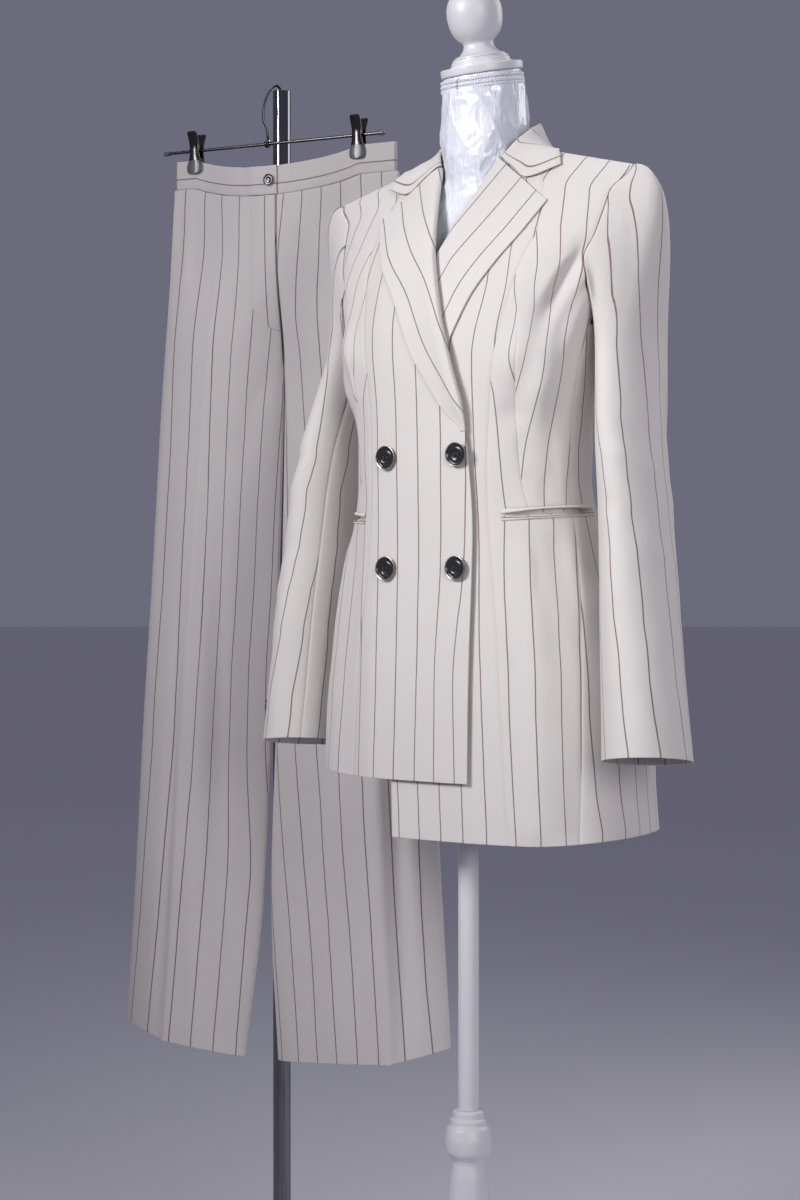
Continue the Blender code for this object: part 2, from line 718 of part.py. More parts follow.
def neck_point(turn, radius, height, side):
    """A point round the neck. The turn runs from the centre back to the front."""
    turn = math.radians(turn)
    return Vector((side * radius * math.sin(turn), NECK_Y + radius * math.cos(turn), height))


def surface_place(x, y):
    """The angle and level at which the shoulders or back lie at a place seen from above."""
    low, high = CHEST_LEVEL, TOP_LEVEL
    for _ in range(24):
        level = (low + high) / 2
        angle = angle_at(x, level)
        angle = angle if y < 0 else 180 - angle
        if abs(body_point(angle, level, 1).y) > abs(y):
            low = level
        else:
            high = level
    return angle, level


def on_cloth(point, clearance):
    """Lifts a point that is too near the shoulders or back, or below them."""
    angle, level = surface_place(abs(point.x), point.y)
    steep = max(body_normal(angle, level, 1).z, 0.35)
    lowest = body_point(angle, level, 1).z + clearance / steep
    return Vector((point.x, point.y, max(point.z, lowest)))


def collar_line(share, side):
    """One section through the collar: up the stand, over the fold and down the fall."""
    row = {name: read_table(COLLAR_STATIONS, name, share) for name in CollarStation._fields[1:]}
    turn, edge_turn = COLLAR_FOLD_TURN * share, COLLAR_EDGE_TURN * share
    foot, fold, low, top = row["foot_radius"], row["fold_radius"], row["foot_z"], row["fold_z"]
    edge = on_cloth(neck_point(edge_turn, row["edge_radius"], CHEST_LEVEL, side), COLLAR_LIFT)
    shoulder = neck_point(turn, fold + 0.0070, top - 0.0030, side)
    line = [
        neck_point(turn, foot, low, side),
        neck_point(turn, mix(foot, fold, 0.5) - 0.0010, mix(low, top, 0.5), side),
        neck_point(turn, fold - 0.0005, mix(low, top, 0.86), side),
        neck_point(turn, fold + 0.0028, top + 0.0008, side),
        shoulder,
    ]
    for part, sag in ((0.40, 0.0015), (0.75, 0.0010)):
        line.append(on_cloth(shoulder.lerp(edge, part) + Vector((0, 0, sag)), COLLAR_LIFT))
    return line + [edge]


def collar_end(side):
    """The collar's front end, laid on the front just above the lapel's top edge."""
    return [body_point(angle_at(p.out, p.level), p.level, side, p.lift) for p in COLLAR_END]


def collar(finish):
    half = {}
    for side in (1, -1):
        half[side] = [collar_line(share, side) for share in COLLAR_SHARES]
        before, end = half[side][-1], collar_end(side)
        for share in COLLAR_END_SHARES:
            line = [p.lerp(q, share) for p, q in zip(before, end)]
            if share < 1:
                line = line[:4] + [on_cloth(p, COLLAR_LIFT) for p in line[4:]]
            half[side].append(line)
    stations = half[-1][:0:-1] + half[1]
    return wall("collar", stations, grid_normals(stations, False), WALL, finish)


def welt(name, side, upper, finish):
    """One lip of a pocket, a strip that lies on the body panels."""
    offset = WELT_MOUTH / 2 if upper else -WELT_MOUTH / 2 - WELT_WIDTH
    outer, normals = [], []
    lift = PLY_GAP + TRIM_WALL + 0.0008
    for row_share in (0, 1):
        line, row = [], []
        for share in spread(0, 1, 11):
            angle = mix(POCKET_FRONT_ANGLE, POCKET_BACK_ANGLE, share)
            level = POCKET_LEVEL + POCKET_RISE * share + offset + WELT_WIDTH * row_share
            line.append(body_point(angle, level, side, lift + overlap_lift(angle, level, side)))
            row.append(body_normal(angle, level, side))
        outer.append(line)
        normals.append(row)
    return wall(name, outer, normals, TRIM_WALL, finish)


def front_buttons(finish):
    """Two columns of buttons. Each leans towards the dip of the cloth between them."""
    number = 0
    for way in (-1, 1):
        tilt = Matrix.Rotation(math.radians(BUTTON_TILT[way]), 3, "Z")
        for level in BUTTON_LEVELS:
            number += 1
            angle = angle_at(-way * BUTTON_X, level)
            normal = body_normal(angle, level, -1)
            base = body_point(angle, level, -1, OVERLAP_LIFT) + normal * 0.0026
            turned(f"button_front_{number}", BUTTON_PROFILE, base, tilt @ normal, 14, finish)


# Sleeves


def sleeve_ring(turn, height, side):
    """A point of the sleeve below the armhole. The turn runs from the outside round to the front."""
    row = {name: read_table(SLEEVE_SECTIONS, name, height) for name in SleeveSection._fields[1:]}
    swing = 1 - smooth_step(SLEEVE_HEIGHTS[0], SWING_HEIGHT, height)
    for name, most in SLEEVE_SWINGS[side]._asdict().items():
        row[name] += most * swing
    lean = math.radians(row["lean"])
    thick, wide = row["half_thick"] * math.cos(turn), row["half_wide"] * math.sin(turn)
    x = row["x"] + thick * math.cos(lean) + wide * math.sin(lean)
    y = row["y"] + thick * math.sin(lean) - wide * math.cos(lean)
    share = 1 - smooth_step(SLEEVE_HEIGHTS[0], BICEP_HEIGHT, height)
    return Vector((side * x, y, height - (y - row["y"]) * CUFF_SLOPE * share))


def armhole_point(turn, side):
    """A point of the armhole seam, from the shoulder round by the front."""
    level = mix(CHEST_LEVEL, TOP_LEVEL, (1 + math.cos(turn)) / 2)
    angle = armhole_angle(level)
    point = body_point(angle if math.sin(turn) >= 0 else 180 - angle, level, side)
    return point + Vector((side * 0.0013, 0, 0))


def sleeve_cap(turn, share, side):
    """The head of the sleeve, curved from the upper arm in to the armhole seam."""
    low, high = sleeve_ring(turn, BICEP_HEIGHT, side), armhole_point(turn, side)
    outside = (1 + math.cos(turn)) / 2
    reach = (high - low).length
    up = sleeve_ring(turn, BICEP_HEIGHT, side) - sleeve_ring(turn, BICEP_HEIGHT - 0.05, side)
    start = up.normalized() * reach * 1.15
    end = Vector((-side * mix(0.10, 0.95, outside), 0, mix(0.9, 0.08, outside))) * reach
    t = share
    return (
        low * (2 * t**3 - 3 * t**2 + 1)
        + start * (t**3 - 2 * t**2 + t)
        + high * (3 * t**2 - 2 * t**3)
        + end * (t**3 - t**2)
    )


def sleeve_point(turn, rise, side):
    """A point of the sleeve. Above the upper arm the rise runs through the cap."""
    if rise <= BICEP_HEIGHT:
        return sleeve_ring(turn, rise, side)
    return sleeve_cap(turn, min((rise - BICEP_HEIGHT) / CAP_RISE, 1.0), side)


def sleeve_normal(turn, rise, side):
    around = sleeve_point(turn + 0.05, rise, side) - sleeve_point(turn - 0.05, rise, side)
    high = min(rise + 0.004, BICEP_HEIGHT + CAP_RISE)
    up = sleeve_point(turn, high, side) - sleeve_point(turn, high - 0.008, side)
    return (up.cross(around) * side).normalized()


def sleeve_piece(name, side, first, last, columns, finish):
    turns = [math.radians(turn) for turn in spread(first, last, columns)]
    rises = [*SLEEVE_HEIGHTS, *(BICEP_HEIGHT + CAP_RISE * share for share in CAP_SHARES)]
    outer = [[sleeve_point(turn, rise, side) for turn in turns] for rise in rises]
    normals = [[sleeve_normal(turn, rise, side) for turn in turns] for rise in rises]
    for line in outer:
        start = (line[1] - line[0]).normalized() * (SEAM_GAP / 2)
        end = (line[-2] - line[-1]).normalized() * (SEAM_GAP / 2)
        line[0] = line[0] + start
        line[-1] = line[-1] + end
    return wall(name, outer, normals, WALL, finish)


def sleeve_button(name, side, finish):
    """The button by the cuff. The two sleeves hang with a different twist."""
    turn, height = math.radians(BUTTON_TURNS[side]), SLEEVE_HEIGHTS[0] + 0.038
    axis = sleeve_normal(turn, height, side)
    turned(name, BUTTON_PROFILE, sleeve_point(turn, height, side) + axis * 0.0016, axis, 14, finish)


# Trousers


def trouser_place(u, w, z):
    turn = math.radians(TROUSER_TURN)
    return Vector(
        (
            TROUSER_X + u * math.cos(turn) + w * math.sin(turn),
            TROUSER_Y + u * math.sin(turn) - w * math.cos(turn),
            z,
        )
    )


def waist_drop(u):
    """How far the waist sags between the clips."""
    middle, half = sum(CLIP_U) / 2, (CLIP_U[1] - CLIP_U[0]) / 2
    return WAIST_SAG * max(0.0, 1 - ((u - middle) / half) ** 2)


def waist_bulge(u):
    """How far the waist stands open between the clips, which pinch it shut."""
    middle, half = sum(CLIP_U) / 2, (CLIP_U[1] - CLIP_U[0]) / 2 - CLIP_REACH
    return PINCH + 0.019 * max(0.0, 1 - ((u - middle) / half) ** 2) ** 1.5


def trouser_section(rows, share, height, front):
    """A point (u, w) of one layer of a leg. The share runs from the side seam over the crease to the inside."""
    row = {name: read_table(rows, name, height) for name in TrouserLeg._fields[1:]}
    depth = row["front"] if front else row["back"]
    if share < 0.5:
        part = share / 0.5
        u = mix(row["out"], row["crease"], part)
        w = depth * (0.5 * part + 0.5 * math.sqrt(1 - (1 - part) ** 2))
    else:
        part = (1 - share) / 0.5
        u = mix(row["inner"], row["crease"], part)
        seam = mix(0.0, 0.020, smooth_step(CROTCH_HEIGHT, 1.40, height))
        w = seam + (depth - seam) * (0.5 * part + 0.5 * math.sqrt(1 - (1 - part) ** 2))
    above = smooth_step(1.26, WAIST_TOP - BAND_HEIGHT, height)
    w = mix(w, waist_bulge(u) if share > 0 else 0.0, above)
    if share > 0 and (share < 1 or height > CROTCH_HEIGHT):
        w = max(w, PINCH)
    return u, w if front else -w


def trouser_point(rows, share, up, front):
    hem = mix(HEM_AT_OUT, HEM_AT_INNER, share)
    guess = trouser_section(rows, share, WAIST_TOP, front)[0]
    top = WAIST_TOP - BAND_HEIGHT - BAND_GAP - waist_drop(guess)
    height = mix(hem, top, up)
    u, w = trouser_section(rows, share, height, front)
    return trouser_place(u, w, height)


def trouser_piece(name, rows, front, finish):
    side = 1 if rows is LEFT_LEG else -1
    outer = [[trouser_point(rows, share, up, front) for share in TROUSER_SHARES] for up in TROUSER_RISES]
    normals = grid_normals(outer, (side > 0) == front)
    aside = trouser_place(1, 0, 0) - trouser_place(0, 0, 0)
    ahead = trouser_place(0, 1, 0) - trouser_place(0, 0, 0)
    facing = ahead if front else -ahead
    for i, line in enumerate(outer):
        normals[i][0] = aside * side
        line[0] = line[0] + facing * (SEAM_GAP / 2)
        if line[-1].z < CROTCH_HEIGHT:
            normals[i][-1] = -aside * side
            line[-1] = line[-1] + facing * (SEAM_GAP / 2)
        else:
            normals[i][-1] = facing
    return wall(name, outer, normals, WALL, finish)


def waistband(finish):
    """A strip that runs from its lapped end round the back to the end below it."""
    outer = [[], []]
    front = [(u, waist_bulge(u) + (0.0024 if u > -0.030 else 0.0)) for u in spread(0.014, -0.149, 15)]
    back = [(u, -waist_bulge(u)) for u in spread(-0.149, 0.149, 15)]
    under = [(u, waist_bulge(u)) for u in spread(0.149, -0.022, 14)]
    for row, height in enumerate((WAIST_TOP - BAND_HEIGHT, WAIST_TOP)):
        for u, w in front + back + under:
            outer[row].append(trouser_place(u, w, height - waist_drop(u)))
    return wall("waistband", outer, grid_normals(outer, True), WALL, finish)


def fly(finish):
    """The fly's flap, a strip with a curved foot that lies on the front."""
    outer = []
    for up in spread(0, 1, 9):
        height = mix(FLY_BOTTOM, WAIST_TOP - BAND_HEIGHT - WAIST_SAG - 0.002, up)
        width = 0.034 * math.sqrt(max(1 - (1 - min(up / 0.28, 1)) ** 2, 0.02))
        line = []
        for across in spread(0, 1, 4):
            u = -width * (1 - across) - 0.0012
            w = max(front_w(u, height), PINCH) + PLY_GAP + TRIM_WALL + 0.0006
            line.append(trouser_place(u, w, height))
        outer.append(line)
    return wall("fly", outer, grid_normals(outer, False), TRIM_WALL, finish)


def front_w(u, height):
    """Depth of the front layer of the right leg at a place beside the fly."""
    inner = read_table(RIGHT_LEG, "inner", height)
    crease = read_table(RIGHT_LEG, "crease", height)
    share = 1 - 0.5 * min(max((u - inner) / (crease - inner), 0.0), 1.0)
    return trouser_section(RIGHT_LEG, share, height, True)[1]


def hanger(metal, wire):
    ends = [trouser_place(u, 0, ROD_HEIGHT) for u in ROD_ENDS]
    tube("hanger_rod", ends, [ROD_RADIUS] * 2, 12, metal)
    along = (ends[1] - ends[0]).normalized()
    for name, end, way in (("rod_end_right", ends[0], -1), ("rod_end_left", ends[1], 1)):
        cap = [end + along * way * d for d in (0.0004, 0.0010, 0.0070, 0.0078)]
        tube(name, cap, [0.0024, 0.0030, 0.0030, 0.0022], 12, wire)
    hook_path = (
        (POST_U + 0.000, -0.0002 - ROD_RADIUS - 0.0022, ROD_HEIGHT + 0.0000),
        (POST_U + 0.000, -0.0050, ROD_HEIGHT + 0.0120),
        (POST_U - 0.001, -0.0140, ROD_HEIGHT + 0.0250),
        (POST_U - 0.006, -0.0240, ROD_HEIGHT + 0.0420),
        (POST_U - 0.008, -0.0340, ROD_HEIGHT + 0.0620),
        (POST_U - 0.004, -0.0440, ROD_HEIGHT + 0.0790),
        (POST_U + 0.000, -0.0530, ROD_HEIGHT + 0.0850),
        (POST_U + 0.001, -0.0610, ROD_HEIGHT + 0.0820),
        (POST_U + 0.000, POST_W - 0.003, ROD_HEIGHT + 0.0700),
        (POST_U + 0.000, POST_W - 0.005, ROD_HEIGHT + 0.0500),
    )
    tube("hanger_hook", [trouser_place(*p) for p in hook_path], [0.0016] * len(hook_path), 8, wire)


def clip_jaw(name, u, front, finish):
    """One jaw of a pinch clip: a plate with a pad at the cloth, bent away from the rod to a thumb tab."""
    Jaw = namedtuple("Jaw", "height near far half_width")
    rows = (
        Jaw(-0.0240, 0.0027, 0.0062, 0.0085),
        Jaw(-0.0225, 0.0027, 0.0070, 0.0095),
        Jaw(-0.0130, 0.0027, 0.0072, 0.0098),
        Jaw(-0.0090, 0.0032, 0.0070, 0.0080),
        Jaw(-0.0050, 0.0040, 0.0066, 0.0065),
        Jaw(0.0080, 0.0046, 0.0068, 0.0062),
        Jaw(0.0230, 0.0105, 0.0125, 0.0070),
        Jaw(0.0260, 0.0115, 0.0133, 0.0055),
    )
    way = 1 if front else -1
    rings = []
    for row in rows:
        corners = (
            (-row.half_width, row.near), (row.half_width, row.near),
            (row.half_width, row.far), (-row.half_width, row.far),
        )
        rings.append([trouser_place(u + du, way * w, ROD_HEIGHT + row.height) for du, w in corners])
    return lofted(name, rings, finish)


def post(chrome, black):
    foot = trouser_place(POST_U, POST_W, 0.0)
    up = Vector((0, 0, 1))
    inside = POST_RADIUS - POST_WALL
    profile = (
        Turned(0.0035, 0.0185), Turned(POST_RADIUS, 0.0185), Turned(POST_RADIUS, POST_TOP),
        Turned(inside, POST_TOP), Turned(inside, POST_TOP - 0.120), Turned(0.0035, POST_TOP - 0.120),
    )
    turned("post_tube", profile, foot, up, 24, chrome)
    base = (
        Turned(POST_FOOT_RADIUS - 0.004, 0.0), Turned(POST_FOOT_RADIUS, 0.003),
        Turned(POST_FOOT_RADIUS, 0.010), Turned(POST_FOOT_RADIUS - 0.006, 0.0135),
        Turned(0.024, 0.0165), Turned(0.020, 0.0182),
    )
    turned("post_foot", base, foot, up, 32, black)


# Dress form


def form_torso(finish):
    rings = []
    for row in FORM_SECTIONS:
        ring = []
        for k in range(FORM_SIDES):
            turn = 2 * math.pi * k / FORM_SIDES
            sine, cosine = math.sin(turn), math.cos(turn)
            x = row.half_width * math.copysign(abs(sine) ** row.peak, sine)
            depth = row.front if cosine > 0 else row.back
            y = -depth * math.copysign(abs(cosine) ** row.peak, cosine)
            ring.append(Vector((x, y, row.height)))
        rings.append(ring)
    lean = math.tan(math.radians(CAP_LEAN))
    rings[-1] = [Vector((p.x, p.y, p.z + (p.y - NECK_Y) * lean)) for p in rings[-1]]
    lofted("form_torso", rings, finish)


def form_stand(white):
    up = Vector((0, 0, 1))
    axis = Vector((0, -math.sin(math.radians(CAP_LEAN)), math.cos(math.radians(CAP_LEAN))))
    cap_base = Vector((0, NECK_Y, FORM_SECTIONS[-1].height)) + axis * SEAM_GAP
    turned("neck_cap", CAP_PROFILE, cap_base, axis, 24, white)
    turned("finial", FINIAL_PROFILE, cap_base + axis * (CAP_PROFILE[-1].height + SEAM_GAP), axis, 20, white)
    middle = Vector((0, POLE_Y, 0))
    pole = (
        Turned(POLE_RADIUS, COLUMN_PROFILE[-1].height + SEAM_GAP),
        Turned(POLE_RADIUS, FORM_SECTIONS[0].height - SEAM_GAP),
    )
    turned("form_pole", pole, middle, up, 16, white)
    turned("form_column", COLUMN_PROFILE, middle, up, 20, white)
    for number in range(LEG_COUNT):
        turn = math.radians(90 + 360 * number / LEG_COUNT)
        out = Vector((math.cos(turn), math.sin(turn), 0))
        path = [middle + out * p.reach + up * p.height for p in LEG_PATH]
        form_leg(f"form_leg_{number + 1}", path, [p.radius for p in LEG_PATH], out, white)


def form_leg(name, path, radii, out, finish):
    """A curved leg of round section that ends in a flat foot on the floor."""
    rings = []
    across = out.cross(Vector((0, 0, 1)))
    for i, centre in enumerate(path):
        along = (path[min(i + 1, len(path) - 1)] - path[max(i - 1, 0)]).normalized()
        if i == 0:
            along = out
        ahead = along.cross(across)
        turns = [2 * math.pi * k / 12 for k in range(12)]
        rings.append([centre + (across * math.cos(t) + ahead * math.sin(t)) * radii[i] for t in turns])
    foot = path[-1] + out * 0.010
    foot.z = 0.0
    for height, radius in ((0.006, 0.0160), (0.0, 0.0150)):
        turns = [2 * math.pi * k / 12 for k in range(12)]
        centre = Vector((foot.x, foot.y, height))
        rings.append([centre + (across * math.cos(t) + out * math.sin(t) * -1) * radius for t in turns])
    lofted(name, rings, finish)


def centre_on_floor():
    """Moves every piece alike, so that the origin lies on the floor under the middle of the box round them."""
    corners = [v.co for obj in bpy.data.objects for v in obj.data.vertices]
    low = [min(p[k] for p in corners) for k in range(3)]
    high = [max(p[k] for p in corners) for k in range(3)]
    shift = Vector((-(low[0] + high[0]) / 2, -(low[1] + high[1]) / 2, -low[2]))
    for obj in bpy.data.objects:
        for vertex in obj.data.vertices:
            vertex.co += shift
    print("moved by", [round(x, 5) for x in shift])


def main():
    clear_scene()
    cloth = material("pinstriped_crepe", (0.80, 0.77, 0.71), 0.75)
    black = material("black_button", (0.02, 0.02, 0.02), 0.25)
    white = material("white_lacquer", (0.85, 0.85, 0.84), 0.35)
    satin = material("white_satin", (0.86, 0.87, 0.90), 0.30)
    steel = material("dark_steel", (0.18, 0.17, 0.17), 0.35, 1.0)
    chrome = material("chrome", (0.60, 0.60, 0.62), 0.12, 1.0)

    for side, word, hem in ((1, "left", HEM_LEFT), (-1, "right", HEM_RIGHT)):
        levels = levels_from(hem)
        body = levels_from(hem, CHEST_LEVEL)
        panel(f"front_{word}", side, levels, front_edge(side), princess_angle, 7, cloth)
        panel(f"side_front_{word}", side, levels, princess_angle, side_front_angle, 6, cloth)
        panel(f"side_{word}", side, body, side_front_angle, side_back_angle, 5, cloth)
        back_panel(f"back_{word}", side, hem, cloth)
        lapel(f"lapel_{word}", side, cloth)
        sleeve_piece(f"sleeve_top_{word}", side, BACK_SEAM_TURN, FRONT_SEAM_TURN, 11, cloth)
        sleeve_piece(f"sleeve_under_{word}", side, FRONT_SEAM_TURN, 360 + BACK_SEAM_TURN, 6, cloth)
        sleeve_button(f"button_sleeve_{word}", side, black)
        welt(f"welt_upper_{word}", side, True, cloth)
        welt(f"welt_lower_{word}", side, False, cloth)
    collar(cloth)
    front_buttons(black)

    for word, rows in (("left", LEFT_LEG), ("right", RIGHT_LEG)):
        trouser_piece(f"trouser_front_{word}", rows, True, cloth)
        trouser_piece(f"trouser_back_{word}", rows, False, cloth)
    waistband(cloth)
    fly(cloth)
    button_u = -0.0075
    face = trouser_place(button_u, waist_bulge(button_u) + 0.0028, WAIST_TOP - WAIST_SAG - BAND_HEIGHT / 2)
    ahead = trouser_place(0, 1, 0) - trouser_place(0, 0, 0)
    small = tuple(Turned(row.radius * 0.57, row.height * 0.8) for row in BUTTON_PROFILE)
    turned("button_waist", small, face + ahead * 0.0008, ahead, 14, black)

    form_torso(satin)
    form_stand(white)
    hanger(steel, chrome)
    for word, u in zip(("right", "left"), CLIP_U):
        clip_jaw(f"clip_front_{word}", u, True, steel)
        clip_jaw(f"clip_back_{word}", u, False, steel)
    post(chrome, black)
    centre_on_floor()


main()
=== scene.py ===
"""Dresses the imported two-piece suit: a jacket on a dress form, and its trousers on a clip hanger and post.

Metres. The jacket, its sleeves and the form are worked out about the torso's axis and the trousers in a frame of
their own, and every point is moved to the row frame when its mesh is made.
"""

from __future__ import annotations

import logging
import math
from dataclasses import dataclass, field
from enum import Enum
from functools import partial
from typing import Callable, Sequence

import bpy
import numpy as np
from mathutils import Matrix, Vector

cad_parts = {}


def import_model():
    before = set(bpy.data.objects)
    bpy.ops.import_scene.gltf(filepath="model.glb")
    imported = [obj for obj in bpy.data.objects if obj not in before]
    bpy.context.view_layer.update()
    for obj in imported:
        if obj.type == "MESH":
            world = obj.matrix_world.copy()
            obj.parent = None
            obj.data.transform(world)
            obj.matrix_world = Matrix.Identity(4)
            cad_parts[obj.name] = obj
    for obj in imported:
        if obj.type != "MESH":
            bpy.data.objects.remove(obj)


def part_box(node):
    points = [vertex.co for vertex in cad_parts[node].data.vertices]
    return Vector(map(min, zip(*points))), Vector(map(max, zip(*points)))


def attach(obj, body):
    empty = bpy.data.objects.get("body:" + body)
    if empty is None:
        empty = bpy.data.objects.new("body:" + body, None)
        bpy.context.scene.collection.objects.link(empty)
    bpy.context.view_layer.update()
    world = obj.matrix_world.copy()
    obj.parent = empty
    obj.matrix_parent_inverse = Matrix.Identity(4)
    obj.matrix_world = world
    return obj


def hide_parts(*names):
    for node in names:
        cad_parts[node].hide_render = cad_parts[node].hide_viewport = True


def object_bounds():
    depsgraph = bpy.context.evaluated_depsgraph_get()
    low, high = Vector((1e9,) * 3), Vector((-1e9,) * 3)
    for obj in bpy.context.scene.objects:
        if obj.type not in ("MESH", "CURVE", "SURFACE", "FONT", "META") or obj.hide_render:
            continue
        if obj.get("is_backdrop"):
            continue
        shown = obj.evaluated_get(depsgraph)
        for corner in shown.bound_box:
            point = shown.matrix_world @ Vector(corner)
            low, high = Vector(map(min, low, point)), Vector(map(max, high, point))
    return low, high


LOG = logging.getLogger("suit")
Array = np.ndarray

POLE_BEHIND_AXIS = -0.020
SIDES = {"left": 1, "right": -1}


# Numbers


def mix(a: Array | float, b: Array | float, share: Array | float) -> Array | float:
    """Goes from a to b by a share."""
    return a + (b - a) * share


def smooth_step(low: Array | float, high: Array | float, at: Array | float) -> Array:
    """Rises smoothly from 0 at low to 1 at high."""
    t = np.clip((at - low) / (high - low), 0.0, 1.0)
    return t * t * (3 - 2 * t)


def unit(vectors: Array) -> Array:
    """Gives vectors a length of one."""
    return vectors / np.maximum(np.linalg.norm(vectors, axis=-1, keepdims=True), 1e-12)


def spaced(first: float, last: float, step: float, fine: Sequence[float] = (0.0007, 0.0016, 0.0030)) -> Array:
    """Places between two values, a step apart, with a few close to each end for a rounded seam edge.

    Args:
        first: The first place, in metres.
        last: The last place.
        step: The distance between the places in the middle.
        fine: Distances of the extra places from each end.

    Returns:
        The places in order.
    """
    length = last - first
    inner = np.linspace(fine[-1], length - fine[-1], max(int(round((length - 2 * fine[-1]) / step)) + 1, 2))
    ends = np.array([0.0, *fine[:-1]])
    return first + np.concatenate([ends, inner, length - ends[::-1]])


class Table:
    """Rows of named sizes, read by their first column on a smooth curve that never overshoots."""

    def __init__(self, columns: str, rows: Sequence[tuple[float, ...]]) -> None:
        """Keeps rows in rising order of their first column, and the columns' names."""
        self.columns = columns.split()
        self.values = np.array(rows, dtype=float)

    def read(self, column: str, at: Array | float) -> Array:
        """Reads one column.

        Args:
            column: The column's name.
            at: Values of the first column.

        Returns:
            The column's values there.
        """
        places, values = self.values[:, 0], self.values[:, self.columns.index(column)]
        at = np.clip(at, places[0], places[-1])
        i = np.clip(np.searchsorted(places, at, side="right") - 1, 0, len(places) - 2)
        widths = np.diff(places)
        steps = np.diff(values) / widths
        alike = steps[:-1] * steps[1:] > 0
        total = np.where(alike, steps[:-1] + steps[1:], 1.0)
        inner = np.where(alike, 2 * steps[:-1] * steps[1:] / total, 0.0)
        slopes = np.concatenate(([steps[0]], inner, [steps[-1]]))
        t = (at - places[i]) / widths[i]
        return (
            (2 * t**3 - 3 * t**2 + 1) * values[i]
            + (t**3 - 2 * t**2 + t) * slopes[i] * widths[i]
            + (3 * t**2 - 2 * t**3) * values[i + 1]
            + (t**3 - t**2) * slopes[i + 1] * widths[i]
        )

    def row(self, at: Array | float) -> dict[str, Array]:
        """Reads every column but the first."""
        return {name: self.read(name, at) for name in self.columns[1:]}


class Creases:
    """Folds pressed or hung into cloth, listed one by one: each runs along a line and fades at its ends."""

    def __init__(self, rows: Sequence[tuple[float, ...]], scale: float = 1.0) -> None:
        """Keeps the folds.

        Args:
            rows: (x0, y0, x1, y1, depth, width, bow) of each: its ends, how far it stands out, how wide it is and
                how far it bows to one side.
            scale: What x is multiplied by to be a length.
        """
        self.rows = rows
        self.scale = scale

    def depth(self, x: Array, y: Array) -> Array:
        """How far the cloth stands out.

        Args:
            x: Places across, in the rows' own unit.
            y: Places up, in metres.

        Returns:
            The distance out, in metres.
        """
        x = x * self.scale
        total = np.zeros(np.broadcast(x, y).shape)
        for x0, y0, x1, y1, depth, width, bow in self.rows:
            ax, bx = x0 * self.scale, x1 * self.scale
            length = math.hypot(bx - ax, y1 - y0)
            along = ((x - ax) * (bx - ax) + (y - y0) * (y1 - y0)) / length**2
            held = np.clip(along, 0, 1)
            away = ((x - ax) * (y1 - y0) - (y - y0) * (bx - ax)) / length - 4 * bow * held * (1 - held)
            ends = smooth_step(-0.12, 0.25, along) * (1 - smooth_step(0.75, 1.12, along))
            total += depth * np.exp(-((away / width) ** 2)) * ends
        return total


class Grain:
    """How the stripes run over a panel: where one lies at each level, and how close the next ones come to it."""

    def __init__(self, *rows: tuple[float, ...], reach: float = 1.0) -> None:
        """Keeps the rows.

        Args:
            *rows: (level, at, below, above): the distance round at which one stripe lies, and the flat cloth's
                distance for each distance on the panel before it and after it, which are 1 where a row has
                the first two alone.
            reach: How far before the stripe the second of these holds; beyond it the cloth lies flat.
        """
        self.table = Table("level at below above", [(*row, 1.0, 1.0)[:4] for row in rows])
        self.reach = reach

    def flat(self, along: Array, level: Array) -> Array:
        """The distance across the flat cloth.

        Args:
            along: Distances round the panel.
            level: The levels.

        Returns:
            Distances that are whole numbers of pitches at the stripes.
        """
        away = along - self.table.read("at", level)
        before, after = self.table.read("below", level), self.table.read("above", level)
        beyond = np.minimum(away + self.reach, 0)
        return before * np.clip(away, -self.reach, 0) + after * np.maximum(away, 0) + beyond


def run(points: Array, axis: int = 0) -> Array:
    """The distance along rows or columns of points from the first of each."""
    first = np.take(points, [0], axis=axis)
    return np.cumsum(np.linalg.norm(np.diff(points, axis=axis, prepend=first), axis=-1), axis=axis)


def slow_waves(x: Array, y: Array, size: float, height: float, seed: int) -> Array:
    """A gentle uneven surface made of a few long waves.

    Args:
        x: Places across, in metres.
        y: Places up, in metres.
        size: The waves' rough length.
        height: How far they rise.
        seed: Picks the waves.

    Returns:
        The height at each place.
    """
    chance = np.random.default_rng(seed)
    total = np.zeros(np.broadcast(x, y).shape)
    for _ in range(7):
        turn, phase = chance.uniform(0, 2 * math.pi, 2)
        length = size * chance.uniform(0.6, 1.8)
        total += np.sin(2 * math.pi * (x * math.cos(turn) * 1.6 + y * math.sin(turn) * 0.8) / length + phase)
    return total * height / 3.0


# Finishes


def add_node(
    tree: bpy.types.NodeTree, kind: str, inputs: dict[str | int, object], **options: object
) -> bpy.types.NodeSocket:
    """Adds a node to a tree.

    Args:
        tree: The tree.
        kind: The node's type.
        inputs: For an input's name or number, the socket that it is linked to or its plain value.
        **options: The node's own settings.

    Returns:
        The node's first output.
    """
    node = tree.nodes.new(kind)
    for name, value in options.items():
        setattr(node, name, value)
    for name, value in inputs.items():
        socket = node.inputs[name]
        if isinstance(value, bpy.types.NodeSocket):
            tree.links.new(value, socket)
        else:
            socket.default_value = (*value, 1.0) if socket.type == "RGBA" else value
    return node.outputs[0]


